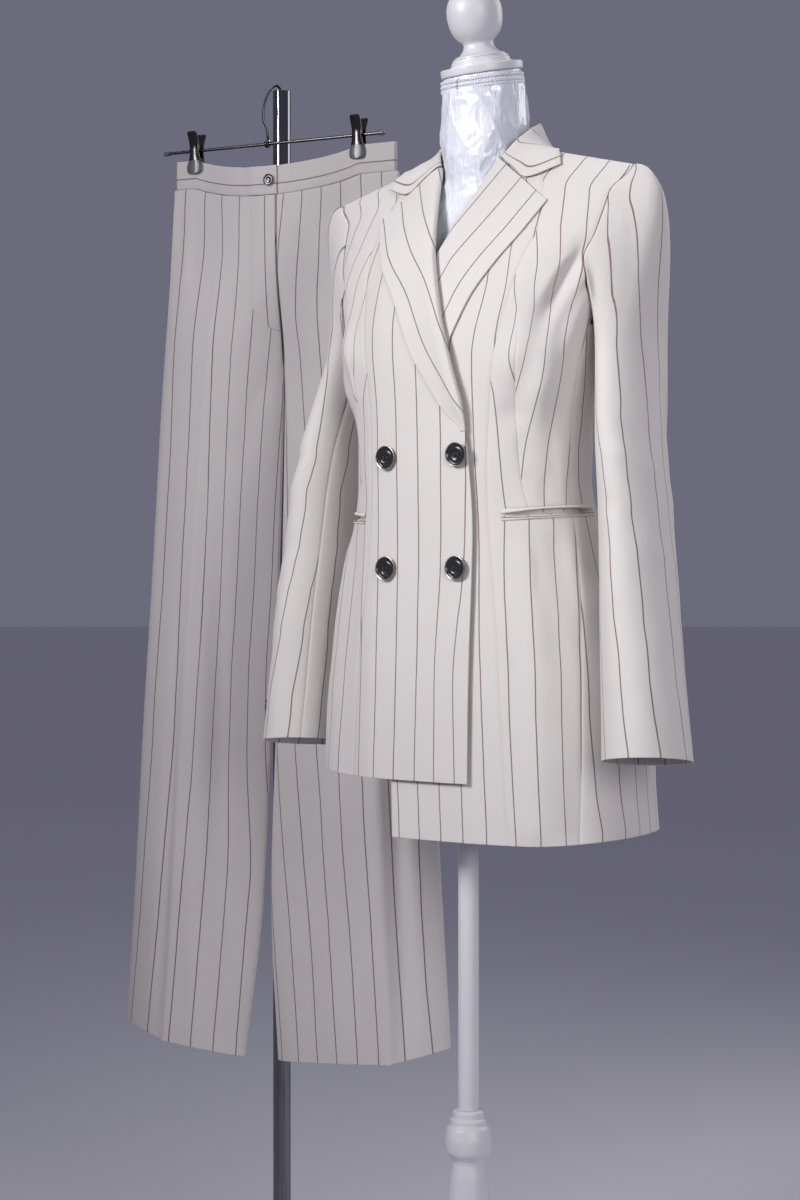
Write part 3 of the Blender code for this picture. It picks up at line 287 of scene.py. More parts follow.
class Graph:
    """A material's node tree, with short ways to add to it."""

    def __init__(self, name: str, **sockets: float | tuple[float, ...]) -> None:
        """Starts a material.

        Args:
            name: The material's name.
            **sockets: Values for the shader's sockets, with _ for a space in the socket's name.
        """
        self.material = bpy.data.materials.new(name)
        self.material.use_nodes = True
        self.tree = self.material.node_tree
        self.shader = self.tree.nodes["Principled BSDF"].inputs
        for key, value in sockets.items():
            socket = self.shader[key.replace("_", " ")]
            socket.default_value = (*value, 1.0) if socket.type == "RGBA" else value

    def dress(self, socket: str, value: bpy.types.NodeSocket) -> None:
        """Links one of the shader's sockets."""
        self.tree.links.new(value, self.shader[socket])

    def math(self, operation: str, *values: object) -> bpy.types.NodeSocket:
        """Adds a Math node and returns its output."""
        return add_node(self.tree, "ShaderNodeMath", dict(enumerate(values)), operation=operation)

    def ramp(self, value: object, low: float, high: float) -> bpy.types.NodeSocket:
        """Adds a smooth rise from 0 at low to 1 at high."""
        inputs = {0: value, 1: low, 2: high}
        return add_node(self.tree, "ShaderNodeMapRange", inputs, interpolation_type="SMOOTHSTEP")

    def blend(self, share: object, first: object, second: object) -> bpy.types.NodeSocket:
        """Adds a Mix node for colours and returns its output."""
        inputs = {0: share, 6: first, 7: second}
        return add_node(self.tree, "ShaderNodeMix", inputs, data_type="RGBA").node.outputs[2]

    def noise(self, where: bpy.types.NodeSocket, scale: float, detail: float = 2.0) -> bpy.types.NodeSocket:
        """Adds a Noise Texture node and returns its value."""
        return add_node(self.tree, "ShaderNodeTexNoise", {"Vector": where, "Scale": scale, "Detail": detail})

    def place(self) -> bpy.types.NodeSocket:
        """The object's own coordinates."""
        return self.tree.nodes.new("ShaderNodeTexCoord").outputs["Object"]

    def stretched(
        self, vector: bpy.types.NodeSocket, turn: tuple[float, float, float], scale: tuple[float, float, float]
    ) -> bpy.types.NodeSocket:
        """The vector turned and scaled, which draws a pattern out along one way."""
        return add_node(self.tree, "ShaderNodeMapping", {"Vector": vector, "Rotation": turn, "Scale": scale})

    def cloth_uv(self) -> tuple[bpy.types.NodeSocket, bpy.types.NodeSocket, bpy.types.NodeSocket]:
        """The cloth's own coordinates: the vector, the distance across the grain and the one along it."""
        uv = add_node(self.tree, "ShaderNodeUVMap", {}, uv_map="cloth")
        parts = add_node(self.tree, "ShaderNodeSeparateXYZ", {0: uv}).node.outputs
        return uv, parts[0], parts[1]

    def bump(self, height: bpy.types.NodeSocket, distance: float, strength: float = 1.0) -> None:
        """Gives the shader a bump from a height."""
        inputs = {"Strength": strength, "Distance": distance, "Height": height}
        self.dress("Normal", add_node(self.tree, "ShaderNodeBump", inputs))


@dataclass(frozen=True)
class PinstripedCrepe:
    """Ivory twill crepe with thin burgundy pinstripes along the grain."""

    ivory: tuple[float, float, float] = (0.655, 0.622, 0.600)
    shade: tuple[float, float, float] = (0.600, 0.567, 0.548)
    burgundy: tuple[float, float, float] = (0.135, 0.042, 0.050)
    pitch: float = 0.0272
    stripe_width: float = 0.0013
    thread: float = 0.00055
    stitch: float = 0.0021
    blur: float = 0.00022
    roughness: float = 0.62

    def build(self) -> bpy.types.Material:
        """Makes the material."""
        gloss = {"Sheen_Weight": 0.22, "Sheen_Roughness": 0.42, "Specular_IOR_Level": 0.38}
        graph = Graph("pinstriped_crepe", Roughness=self.roughness, **gloss)
        uv, across, along = graph.cloth_uv()
        slant = graph.math("ADD", across, along)
        twill = graph.math("SINE", graph.math("MULTIPLY", slant, 2 * math.pi / self.thread))
        crepe = graph.noise(uv, 2600.0, 1.0)
        cloud = graph.noise(uv, 14.0, 3.0)
        tone = graph.math("ADD", graph.math("MULTIPLY", cloud, 0.7), graph.math("MULTIPLY", twill, 0.16))
        colour = graph.blend(tone, self.shade, self.ivory)
        height = graph.math("ADD", graph.math("MULTIPLY", twill, 0.5), crepe)
        waver = graph.math("MULTIPLY", graph.math("SUBTRACT", graph.noise(uv, 22.0, 2.0), 0.5), 0.0011)
        turns = graph.math("DIVIDE", graph.math("ADD", across, waver), self.pitch)
        away = graph.math("ABSOLUTE", graph.math("SUBTRACT", turns, graph.math("ROUND", turns)))
        beads = graph.math("SINE", graph.math("MULTIPLY", along, 2 * math.pi / self.stitch))
        swell = graph.math("ADD", graph.math("MULTIPLY", beads, 0.16), 1.0)
        half = graph.math("MULTIPLY", swell, 0.5 * self.stripe_width)
        edge = graph.math("SUBTRACT", graph.math("MULTIPLY", away, self.pitch), half)
        stripe = graph.math("SUBTRACT", 1.0, graph.ramp(edge, -self.blur, self.blur))
        ink = graph.math("MULTIPLY", stripe, graph.math("ADD", graph.math("MULTIPLY", beads, 0.13), 0.83))
        colour = graph.blend(ink, colour, self.burgundy)
        height = graph.math("ADD", height, graph.math("MULTIPLY", stripe, 1.4))
        graph.dress("Base Color", colour)
        graph.bump(height, 0.00010, 0.55)
        return graph.material


@dataclass(frozen=True)
class Lining:
    """Smooth beige lining on the inside of the cloth."""

    colour: tuple[float, float, float] = (0.42, 0.35, 0.25)

    def build(self) -> bpy.types.Material:
        """Makes the material."""
        graph = Graph("lining", Roughness=0.45, Sheen_Weight=0.2)
        uv, _, along = graph.cloth_uv()
        weave = graph.math("SINE", graph.math("MULTIPLY", along, 2 * math.pi / 0.0006))
        tone = graph.math("ADD", graph.noise(uv, 30.0, 2.0), graph.math("MULTIPLY", weave, 0.05))
        darker = tuple(0.82 * part for part in self.colour)
        graph.dress("Base Color", graph.blend(tone, darker, self.colour))
        graph.bump(weave, 0.00006, 0.4)
        return graph.material


@dataclass(frozen=True)
class FilmedSatin:
    """White satin under a clear crinkled film, which gives the sharp lights."""

    colour: tuple[float, float, float] = (0.80, 0.82, 0.88)
    shade: tuple[float, float, float] = (0.66, 0.69, 0.78)

    def build(self) -> bpy.types.Material:
        """Makes the material."""
        graph = Graph("white_satin", Roughness=0.36, Coat_Weight=0.9, Coat_Roughness=0.10, Sheen_Weight=0.15)
        where = graph.place()
        cloud = graph.noise(where, 26.0, 4.0)
        graph.dress("Base Color", graph.blend(cloud, self.shade, self.colour))
        pulled = graph.stretched(where, (0.45, 0.60, 0.0), (1.0, 1.0, 0.16))
        crinkle = graph.noise(pulled, 110.0, 4.0)
        ridge = graph.math("ABSOLUTE", graph.math("SUBTRACT", crinkle, 0.5))
        graph.bump(ridge, 0.0060, 0.7)
        return graph.material


@dataclass(frozen=True)
class PaintedWood:
    """White satin paint over turned wood, a little uneven."""

    colour: tuple[float, float, float] = (0.70, 0.69, 0.72)

    def build(self) -> bpy.types.Material:
        """Makes the material."""
        graph = Graph("white_lacquer", Roughness=0.42, Coat_Weight=0.25, Coat_Roughness=0.3)
        where = graph.place()
        cloud = graph.noise(where, 18.0, 3.0)
        darker = tuple(0.93 * part for part in self.colour)
        graph.dress("Base Color", graph.blend(cloud, darker, self.colour))
        graph.dress("Roughness", graph.math("ADD", graph.math("MULTIPLY", cloud, 0.12), 0.36))
        graph.bump(graph.noise(where, 340.0, 2.0), 0.0002, 0.25)
        return graph.material


@dataclass(frozen=True)
class PlatedMetal:
    """Plated or bare metal with fine scuffs."""

    name: str
    colour: tuple[float, float, float]
    roughness: float
    metallic: float = 1.0

    def build(self) -> bpy.types.Material:
        """Makes the material."""
        graph = Graph(self.name, Metallic=self.metallic)
        where = graph.place()
        cloud = graph.noise(where, 60.0, 4.0)
        darker = tuple(0.8 * part for part in self.colour)
        graph.dress("Base Color", graph.blend(cloud, darker, self.colour))
        rough = graph.math("ADD", graph.math("MULTIPLY", cloud, 0.14), self.roughness - 0.07)
        graph.dress("Roughness", rough)
        graph.bump(graph.noise(where, 260.0, 2.0), 0.00006, 0.10)
        return graph.material


@dataclass(frozen=True)
class GlossyPlastic:
    """Moulded plastic or resin with a gloss."""

    name: str
    colour: tuple[float, float, float]
    roughness: float = 0.16

    def build(self) -> bpy.types.Material:
        """Makes the material."""
        graph = Graph(self.name, Coat_Weight=0.5, Coat_Roughness=0.06)
        where = graph.place()
        cloud = graph.noise(where, 220.0, 3.0)
        lighter = tuple(min(1.35 * part + 0.004, 1.0) for part in self.colour)
        graph.dress("Base Color", graph.blend(cloud, self.colour, lighter))
        rough = graph.math("ADD", graph.math("MULTIPLY", cloud, 0.10), self.roughness - 0.05)
        graph.dress("Roughness", rough)
        return graph.material


class Finish(Enum):
    """The named finishes of the set."""

    CREPE = PinstripedCrepe()
    LINING = Lining()
    SATIN = FilmedSatin()
    LACQUER = PaintedWood()
    STEEL = PlatedMetal("dark_steel", (0.105, 0.098, 0.100), 0.20)
    # Much darker than bare chrome: the colour holds a painted reflection of the dark surroundings.
    CHROME = PlatedMetal("chrome", (0.22, 0.22, 0.24), 0.09)
    RIM = PlatedMetal("silver_rim", (0.55, 0.53, 0.50), 0.24)
    BUTTON = GlossyPlastic("black_button", (0.012, 0.012, 0.013))
    FOOT = GlossyPlastic("black_foot", (0.020, 0.020, 0.021), 0.42)
    PAD = GlossyPlastic("grey_pad", (0.070, 0.068, 0.070), 0.46)
    BRAID = GlossyPlastic("white_braid", (0.62, 0.63, 0.68), 0.34)
    THREAD = GlossyPlastic("ivory_thread", (0.60, 0.56, 0.50), 0.5)


class Finishes:
    """Makes each finish's material once."""

    def __init__(self) -> None:
        """Starts with none made."""
        self.made: dict[Finish, bpy.types.Material] = {}

    def __getitem__(self, finish: Finish) -> bpy.types.Material:
        """The material of a finish."""
        if finish not in self.made:
            self.made[finish] = finish.value.build()
        return self.made[finish]


# Meshes


@dataclass
class Shape:
    """Points and faces of one piece, with the finish and cloth place of each."""

    points: Array
    faces: list[tuple[int, ...]] | Array
    slots: Array | None = None
    uv: Array | None = None

    def outward(self) -> "Shape":
        """Turns a closed shape's faces so that they point out."""
        total = 0.0
        if isinstance(self.faces, np.ndarray):
            a, b, c, d = (self.points[self.faces[:, k]] for k in range(4))
            total = float(np.sum(a * np.cross(b, c)) + np.sum(a * np.cross(c, d)))
            if total < 0:
                self.faces = self.faces[:, ::-1]
            return self
        for face in self.faces:
            corners = self.points[list(face)]
            for k in range(1, len(face) - 1):
                total += float(corners[0] @ np.cross(corners[k], corners[k + 1]))
        if total < 0:
            self.faces = [face[::-1] for face in self.faces]
        return self


def joined(shapes: Sequence[Shape]) -> Shape:
    """Puts several shapes in one.

    Args:
        shapes: The shapes, each with slots or none.

    Returns:
        One shape, with no cloth places.
    """
    points, faces, slots, start = [], [], [], 0
    for shape in shapes:
        points.append(shape.points)
        faces += [tuple(int(i) + start for i in face) for face in shape.faces]
        slots.append(np.zeros(len(shape.faces), int) if shape.slots is None else shape.slots)
        start += len(shape.points)
    return Shape(np.concatenate(points), faces, np.concatenate(slots))


def grid_normals(grid: Array, flip: bool) -> Array:
    """The normal at each point of a grid.

    Args:
        grid: Points in rows and columns.
        flip: Whether the normals go to the other side.

    Returns:
        Unit normals in the same layout.
    """
    normals = unit(np.cross(np.gradient(grid, axis=1), np.gradient(grid, axis=0)))
    return -normals if flip else normals


def edge_distance(grid: Array, sides: str) -> Array:
    """How far each point of a grid is from the nearest of its named edges, along its row or column.

    Args:
        grid: Points in rows and columns.
        sides: Letters of the edges: f for the first column, l for the last, b for the bottom row, t for the top.

    Returns:
        Distances in metres.
    """
    rows, columns = run(grid, 1), run(grid)
    found = np.full(grid.shape[:2], 1.0)
    distances = {"f": rows, "l": rows[:, -1:] - rows, "b": columns, "t": columns[-1:] - columns}
    for letter, distance in distances.items():
        if letter in sides:
            found = np.minimum(found, distance)
    return found


def cloth_shell(
    grid: Array,
    uv: Array,
    flip: bool,
    thickness: float = 0.0013,
    seams: str = "",
    sunk: float = 0.0007,
    hem: float = 0.0,
) -> Shape:
    """A closed piece of cloth from its outer side: rounded free edges, and seam edges drawn in.

    Args:
        grid: The outer points, in rows from the bottom and columns.
        uv: The place on the flat cloth of each, across and along the grain.
        flip: Whether the outer side is turned the other way.
        thickness: The cloth's thickness.
        seams: Which edges are sewn, as letters for edge_distance.
        sunk: How far a sewn edge is drawn in.
        hem: How far the cloth is turned up inside along the bottom edge.

    Returns:
        The closed shape, with finish 0 outside and on the turned hem, and 1 inside.
    """
    rows, columns = grid.shape[:2]
    normals = grid_normals(grid, flip)
    if seams:
        near = 1 - smooth_step(0.0, 0.0030, edge_distance(grid, seams))
        grid = grid - normals * (sunk * near**1.5)[..., None]
    inner = grid - normals * thickness
    count = rows * columns
    i, j = np.meshgrid(np.arange(rows - 1), np.arange(columns - 1), indexing="ij")
    k = (i * columns + j).ravel()
    outside = np.stack([k, k + 1, k + columns + 1, k + columns], axis=1)
    inside = outside[:, ::-1] + count
    border = np.concatenate(
        [
            np.arange(columns),
            np.arange(1, rows) * columns + columns - 1,
            (rows - 1) * columns + np.arange(columns - 2, -1, -1),
            np.arange(rows - 2, 0, -1) * columns,
        ]
    )
    flat, flat_in = grid.reshape(-1, 3), inner.reshape(-1, 3)
    out = np.zeros_like(grid)
    out[0] += grid[0] - grid[1]
    out[-1] += grid[-1] - grid[-2]
    for edge, beside in ((0, 1), (-1, -2)):
        size = np.linalg.norm(out[:, edge], axis=-1, keepdims=True).clip(1e-6)
        out[:, edge] += unit(grid[:, edge] - grid[:, beside]) * size
    away = unit(out.reshape(-1, 3)[border])
    rings = [border]
    extra = []
    for step in (1, 2):
        turn = math.pi * step / 3
        share, bulge = (1 - math.cos(turn)) / 2, math.sin(turn) * (0.00012 if seams else 0.45 * thickness)
        extra.append(mix(flat[border], flat_in[border], share) + away * bulge)
        rings.append(2 * count + (step - 1) * len(border) + np.arange(len(border)))
    rings.append(border + count)
    strips = []
    for low, high in zip(rings, rings[1:]):
        strips.append(np.stack([low, high, np.roll(high, -1), np.roll(low, -1)], axis=1))
    flat_uv = uv.reshape(-1, 2)
    turned_up = edge_distance(grid, "b")[:-1, :-1].ravel() < hem
    return Shape(
        np.concatenate([flat, flat_in, *extra]),
        np.concatenate([outside, inside, *strips]),
        np.concatenate([np.zeros(len(outside), int), np.where(turned_up, 0, 1), np.zeros(3 * len(border), int)]),
        np.concatenate([flat_uv, flat_uv, flat_uv[border], flat_uv[border]]),
    ).outward()


def spline(points: Array, at: Array) -> Array:
    """A smooth curve through points.

    Args:
        points: The points it passes through.
        at: Places along it, where whole numbers are the points themselves.

    Returns:
        A point for each place.
    """
    padded = np.concatenate([[2 * points[0] - points[1]], points, [2 * points[-1] - points[-2]]])
    i = np.clip(at.astype(int), 0, len(points) - 2)
    t = (at - i)[:, None]
    a, b, c, d = (padded[i + k] for k in range(4))
    return 0.5 * (2 * b + (c - a) * t + (2 * a - 5 * b + 4 * c - d) * t**2 + (3 * b - a - 3 * c + d) * t**3)


def refined(points: Array, count: int) -> Array:
    """A smooth curve through points, with a given number of points."""
    return spline(points, np.linspace(0, len(points) - 1, count))


def smooth_path(points: Array, step: float) -> Array:
    """A smooth curve through points, with its own points roughly a step apart."""
    counts = np.maximum(np.linalg.norm(np.diff(points, axis=0), axis=1) / step, 1).astype(int)
    starts = [i + np.arange(count) / count for i, count in enumerate(counts)]
    return spline(points, np.concatenate([*starts, [len(counts)]]))


def tube_shape(path: Array, radius: float | Array, sides: int, aside: Array | None = None) -> Shape:
    """A round bar along a path, closed at both ends.

    Args:
        path: Its centre line.
        radius: Its radius, all along or at each point.
        sides: The number of its sides.
        aside: A direction that the first ring starts from.

    Returns:
        The closed shape.
    """
    radius = np.broadcast_to(radius, len(path))
    tangents = unit(np.gradient(path, axis=0))
    start = np.array([0.0, 1.0, 0.0]) if aside is None else aside
    if aside is None and abs(tangents[0][1]) > 0.9:
        start = np.array([1.0, 0.0, 0.0])
    turns = np.linspace(0, 2 * math.pi, sides, endpoint=False)
    rings = []
    for centre, along, size in zip(path, tangents, radius):
        start = unit(start - along * (start @ along))
        ahead = np.cross(along, start)
        rings.append(centre + size * (np.outer(np.cos(turns), start) + np.outer(np.sin(turns), ahead)))
    return ring_shape(rings)


def ring_shape(rings: Sequence[Array]) -> Shape:
    """A closed shape through rings with the same number of points."""
    count = len(rings[0])
    faces = [tuple(range(count))[::-1], tuple(range((len(rings) - 1) * count, len(rings) * count))]
    for i in range(len(rings) - 1):
        for j in range(count):
            k = (j + 1) % count
            faces.append((i * count + j, i * count + k, (i + 1) * count + k, (i + 1) * count + j))
    return Shape(np.concatenate(rings), faces).outward()


def rounded_profile(
    profile: Sequence[tuple[float, float]], radius: float, steps: int = 4
) -> list[tuple[float, float]]:
    """Rounds the corners of a turned profile.

    Args:
        profile: (radius, height) rows.
        radius: How far before and after each corner the rounding starts, at most a third of the way.
        steps: The number of points in each rounded corner.

    Returns:
        More rows.
    """
    rows = [np.array(row) for row in profile]
    made = [tuple(rows[0])]
    for before, corner, after in zip(rows, rows[1:], rows[2:]):
        reach = min(radius, np.linalg.norm(before - corner) / 3, np.linalg.norm(after - corner) / 3)
        start = corner + unit(before - corner) * reach
        end = corner + unit(after - corner) * reach
        for t in np.linspace(0, 1, steps):
            made.append(tuple((1 - t) ** 2 * start + 2 * t * (1 - t) * corner + t**2 * end))
    return [*made, tuple(rows[-1])]


def turned_shape(profile: Sequence[tuple[float, float]], base: Array, axis: Array, sides: int) -> Shape:
    """A turned shape about an axis.

    Args:
        profile: (radius, height) rows from one end to the other.
        base: The point that the heights start from.
        axis: The axis.
        sides: The number of its sides.

    Returns:
        The closed shape.
    """
    axis = unit(np.asarray(axis, float))
    aside = unit(np.cross(axis, [0.0, 1.0, 0.0] if abs(axis[1]) < 0.9 else [1.0, 0.0, 0.0]))
    ahead = np.cross(axis, aside)
    turns = np.linspace(0, 2 * math.pi, sides, endpoint=False)
    circle = np.outer(np.cos(turns), aside) + np.outer(np.sin(turns), ahead)
    return ring_shape([base + axis * height + circle * radius for radius, height in profile])


@dataclass
class Cut:
    """The flat size a piece of cloth was cut to."""

    width: float
    length: float
    area: float
    held: str = "hung"


class Workshop:
    """Turns shapes into the set's pieces, in the row frame."""

    def __init__(self, finishes: Finishes) -> None:
        """Finds the torso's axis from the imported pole.

        Args:
            finishes: The set's materials.
        """
        low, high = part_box("form_pole")
        self.shift = np.array([(low[0] + high[0]) / 2, (low[1] + high[1]) / 2 - POLE_BEHIND_AXIS, 0.0])
        self.finishes = finishes
        self.count = 0

    def object_of(
        self, name: str, shape: Shape, finishes: Sequence[Finish], sharp: float | None
    ) -> bpy.types.Object:
        """Makes an object from a shape.

        Args:
            name: Its name.
            shape: Its points and faces, about the torso's axis.
            finishes: The finish of each of its slots.
            sharp: Edges that turn by more than this many degrees are kept sharp.

        Returns:
            The object.
        """
        mesh = bpy.data.meshes.new(name)
        points = shape.points + self.shift
        if isinstance(shape.faces, np.ndarray):
            mesh.vertices.add(len(points))
            mesh.vertices.foreach_set("co", points.astype(np.float32).ravel())
            mesh.loops.add(shape.faces.size)
            mesh.loops.foreach_set("vertex_index", shape.faces.astype(np.int32).ravel())
            mesh.polygons.add(len(shape.faces))
            mesh.polygons.foreach_set("loop_start", np.arange(0, shape.faces.size, 4, dtype=np.int32))
            mesh.update(calc_edges=True)
        else:
            mesh.from_pydata(points.tolist(), [], shape.faces)
        for finish in finishes:
            mesh.materials.append(self.finishes[finish])
        if shape.slots is not None:
            mesh.polygons.foreach_set("material_index", shape.slots.astype(np.int32))
        if shape.uv is not None:
            layer = mesh.uv_layers.new(name="cloth")
            layer.data.foreach_set("uv", shape.uv[shape.faces.ravel()].astype(np.float32).ravel())
        mesh.shade_smooth()
        if sharp is not None:
            mesh.set_sharp_from_angle(angle=math.radians(sharp))
        mesh.validate()
        made = bpy.data.objects.new(name, mesh)
        bpy.context.scene.collection.objects.link(made)
        return made

    def keep(self, made: bpy.types.Object, slot: str, nodes: Sequence[str] = ()) -> bpy.types.Object:
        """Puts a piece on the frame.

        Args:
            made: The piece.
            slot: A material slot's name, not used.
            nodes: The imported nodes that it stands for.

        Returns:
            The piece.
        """
        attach(made, "root")
        if nodes:
            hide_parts(*nodes)
        self.count += 1
        LOG.info("%s: %d faces", made.name, len(made.data.polygons))
        return made

    def piece(
        self,
        name: str,
        shape: Shape,
        finishes: Sequence[Finish],
        slot: str,
        nodes: Sequence[str] = (),
        sharp: float | None = 40.0,
    ) -> bpy.types.Object:
        """Makes a hard piece and puts it on the frame."""
        return self.keep(self.object_of(name, shape, finishes, sharp), slot, nodes)

    def cloth(self, name: str, shape: Shape, cut: Cut, nodes: Sequence[str], rests_on: Sequence[str]) -> None:
        """Makes a piece of cloth and puts it on the frame."""
        made = self.object_of(name, shape, (Finish.CREPE, Finish.LINING), None)
        self.keep(made, "pinstriped_crepe", nodes)


class PathTool(Enum):
    """What a path is set with."""

    STITCHES = "stitches"
    BRAID = "braid"


@dataclass
class PathTrim:
    """Small shapes repeated along a path by Geometry Nodes: stitches, or the plaits of a braid."""

    tool: PathTool
    spacing: float
    length: float
    radius: float
    tilt: float = 0.0
    apart: float = 0.62

    def tree(self) -> bpy.types.NodeTree:
        """Builds the node tree: it sets each point of the path with one shape, or with a pair that leans in a V.

        Returns:
            The node tree, with its sizes as named inputs.
        """
        tree = bpy.data.node_groups.new(f"{self.tool.value}_on_path", "GeometryNodeTree")
        add, join = partial(add_node, tree), tree.nodes.new("GeometryNodeJoinGeometry")
        sizes = {name: "Float" for name in ("Spacing", "Length", "Radius", "Tilt")}
        for name, kind in {"Path": "Geometry", **sizes, "Finish": "Material"}.items():
            tree.interface.new_socket(name, in_out="INPUT", socket_type=f"NodeSocket{kind}")
        tree.interface.new_socket("Trim", in_out="OUTPUT", socket_type="NodeSocketGeometry")
        given = tree.nodes.new("NodeGroupInput").outputs
        curve = add("GeometryNodeMeshToCurve", {0: given["Path"]})
        points = add("GeometryNodeResampleCurve", {"Curve": curve, "Length": given["Spacing"]}, mode="LENGTH")
        facing = add("GeometryNodeInputNamedAttribute", {"Name": "facing"}, data_type="FLOAT_VECTOR")
        axes = {0: facing, 1: add("GeometryNodeInputTangent", {})}
        turned = add("FunctionNodeAxesToRotation", axes, primary_axis="Z", secondary_axis="X")
        half_length = add("ShaderNodeMath", {0: given["Length"], 1: 0.5}, operation="MULTIPLY")
        bead = add("GeometryNodeMeshIcoSphere", {"Radius": 1.0, "Subdivisions": 2})
        size = add("ShaderNodeCombineXYZ", {0: half_length, 1: given["Radius"], 2: given["Radius"]})
        for way in (1.0, -1.0) if self.tool is PathTool.BRAID else (0.0,):
            tilt = add("ShaderNodeMath", {0: given["Tilt"], 1: way}, operation="MULTIPLY")
            aside = add("ShaderNodeMath", {0: half_length, 1: self.apart * way}, operation="MULTIPLY")
            place, lean = (add("ShaderNodeCombineXYZ", {axis: value}) for axis, value in ((1, aside), (2, tilt)))
            moved = {"Geometry": bead, "Translation": place, "Rotation": lean, "Scale": size}
            tree.links.new(add("GeometryNodeTransform", moved), join.inputs[0])
        smooth = add("GeometryNodeSetShadeSmooth", {0: join.outputs[0]})
        placed = add("GeometryNodeInstanceOnPoints", {"Points": points, "Instance": smooth, "Rotation": turned})
        real = add("GeometryNodeRealizeInstances", {0: placed})
        painted = add("GeometryNodeSetMaterial", {"Geometry": real, "Material": given["Finish"]})
        tree.links.new(painted, tree.nodes.new("NodeGroupOutput").inputs[0])
        return tree

    def along(
        self, shop: Workshop, name: str, paths: Sequence[tuple[Array, Array]], finish: Finish
    ) -> bpy.types.Object:
        """Sets paths with the trim and returns it as a plain mesh.

        Args:
            shop: Makes the pieces.
            name: The trim's name.
            paths: For each path its points, and the way that the surface faces at each.
            finish: The trim's finish.

        Returns:
            The object, not yet on the frame.
        """
        points = np.concatenate([path for path, _ in paths])
        edges, start = [], 0
        for path, _ in paths:
            edges += [(start + i, start + i + 1) for i in range(len(path) - 1)]
            start += len(path)
        mesh = bpy.data.meshes.new(f"{name}_path")
        mesh.from_pydata((points + shop.shift).tolist(), edges, [])
        facing = mesh.attributes.new("facing", "FLOAT_VECTOR", "POINT")
        facing.data.foreach_set("vector", np.concatenate([way for _, way in paths]).astype(np.float32).ravel())
        carrier = bpy.data.objects.new(f"{name}_path", mesh)
        bpy.context.scene.collection.objects.link(carrier)
        modifier = carrier.modifiers.new("trim", "NODES")
        modifier.node_group = self.tree()
        values = {"Spacing": self.spacing, "Length": self.length, "Radius": self.radius, "Tilt": self.tilt}
        values["Finish"] = shop.finishes[finish]
        for item in modifier.node_group.interface.items_tree:
            if item.name in values:
                modifier[item.identifier] = values[item.name]
        bpy.context.view_layer.update()
        plain = bpy.data.meshes.new_from_object(carrier.evaluated_get(bpy.context.evaluated_depsgraph_get()))
        carrier.modifiers.remove(modifier)
        bpy.data.objects.remove(carrier)
        plain.name = name
        plain.shade_smooth()
        made = bpy.data.objects.new(name, plain)
        bpy.context.scene.collection.objects.link(made)
        return made


# Jacket


JACKET_SECTIONS = Table(
    "level half_width front back square back_square",
    (
        (0.7, 0.186, 0.099, 0.158, 2.5, 2.4), (0.8, 0.182, 0.098, 0.156, 2.5, 2.3),
        (0.87, 0.176, 0.097, 0.145, 2.5, 2.3), (0.93, 0.167, 0.095, 0.13, 2.5, 2.2),
        (0.97, 0.16, 0.093, 0.112, 2.5, 2.1), (1.035, 0.1455, 0.0915, 0.073, 2.5, 2.0),
        (1.085, 0.137, 0.092, 0.05, 2.5, 2.0), (1.15, 0.1385, 0.0925, 0.062, 2.4, 2.1),
        (1.19, 0.144, 0.092, 0.08, 2.4, 2.3), (1.236, 0.155, 0.089, 0.09, 2.5, 2.5),
        (1.27, 0.165, 0.082, 0.093, 2.6, 2.6), (1.302, 0.173, 0.072, 0.093, 2.6, 2.6),
        (1.335, 0.182, 0.056, 0.09, 2.5, 2.5), (1.375, 0.19, 0.035, 0.08, 2.3, 2.3),
        (1.405, 0.194, 0.018, 0.063, 2.2, 2.2), (1.42, 0.196, 0.009, 0.04, 2.2, 2.2),
        (1.428, 0.197, 0.0, 0.0, 2.2, 2.2),
    ),
)
FRONT_EDGES = Table(
    "level over under",
    (
        (0.7, -0.06, -0.037), (1.02, -0.06, -0.046), (1.122, -0.053, -0.05), (1.208, -0.031, -0.031),
        (1.26, -0.015, -0.015), (1.302, 0.0, 0.0), (1.335, 0.013, 0.013), (1.375, 0.029, 0.029),
        (1.405, 0.039, 0.039), (1.416, 0.046, 0.046), (1.428, 0.058, 0.058),
    ),
)
PRINCESS_SEAM = Table(
    "level out",
    (
        (0.7, 0.104), (0.9, 0.09), (1.085, 0.073), (1.19, 0.078), (1.26, 0.092), (1.302, 0.1), (1.34, 0.108),
        (1.375, 0.102), (1.428, 0.084),
    ),
)
SIDE_SEAMS = Table(
    "level front_angle back_angle",
    (
        (0.7, 61.0, 116.0), (0.85, 65.0, 114.0), (0.96, 71.0, 111.0), (1.05, 76.0, 108.0),
        (1.12, 77.0, 107.0), (1.2, 78.0, 105.0), (1.236, 81.0, 100.0),
    ),
)
# (side, angle0, level0, angle1, level1, depth, width): the folds and the fullness that the solids have
JACKET_FOLDS = (
    (1, 48, 1.2, 52, 1.178, 0.015, 0.036), (-1, 48, 1.214, 52, 1.19, 0.0145, 0.036),
    (1, 58, 1.318, 42, 1.15, -0.0062, 0.015), (-1, 60, 1.305, 47, 1.165, -0.0035, 0.014),
    (1, 66, 1.33, 68, 1.21, 0.003, 0.016), (1, 44, 1.0, 40, 0.74, 0.0035, 0.017),
    (1, 58, 1.01, 60, 0.74, -0.0035, 0.018), (1, 84, 0.96, 88, 0.74, 0.004, 0.022),
    (-1, 62, 1.01, 64, 0.79, 0.0035, 0.02), (-1, 42, 1.0, 36, 0.79, -0.0025, 0.018),
    (1, 130, 1.03, 134, 0.74, -0.005, 0.02), (-1, 128, 1.03, 131, 0.79, -0.0045, 0.02),
    (1, 155, 1.01, 158, 0.74, 0.004, 0.02), (-1, 152, 1.02, 154, 0.79, 0.0045, 0.02),
    (1, 140, 1.33, 118, 1.25, -0.0035, 0.018), (-1, 138, 1.335, 117, 1.255, -0.0035, 0.018),
)
FOLD_SCALE = math.radians(1.0) * 0.13
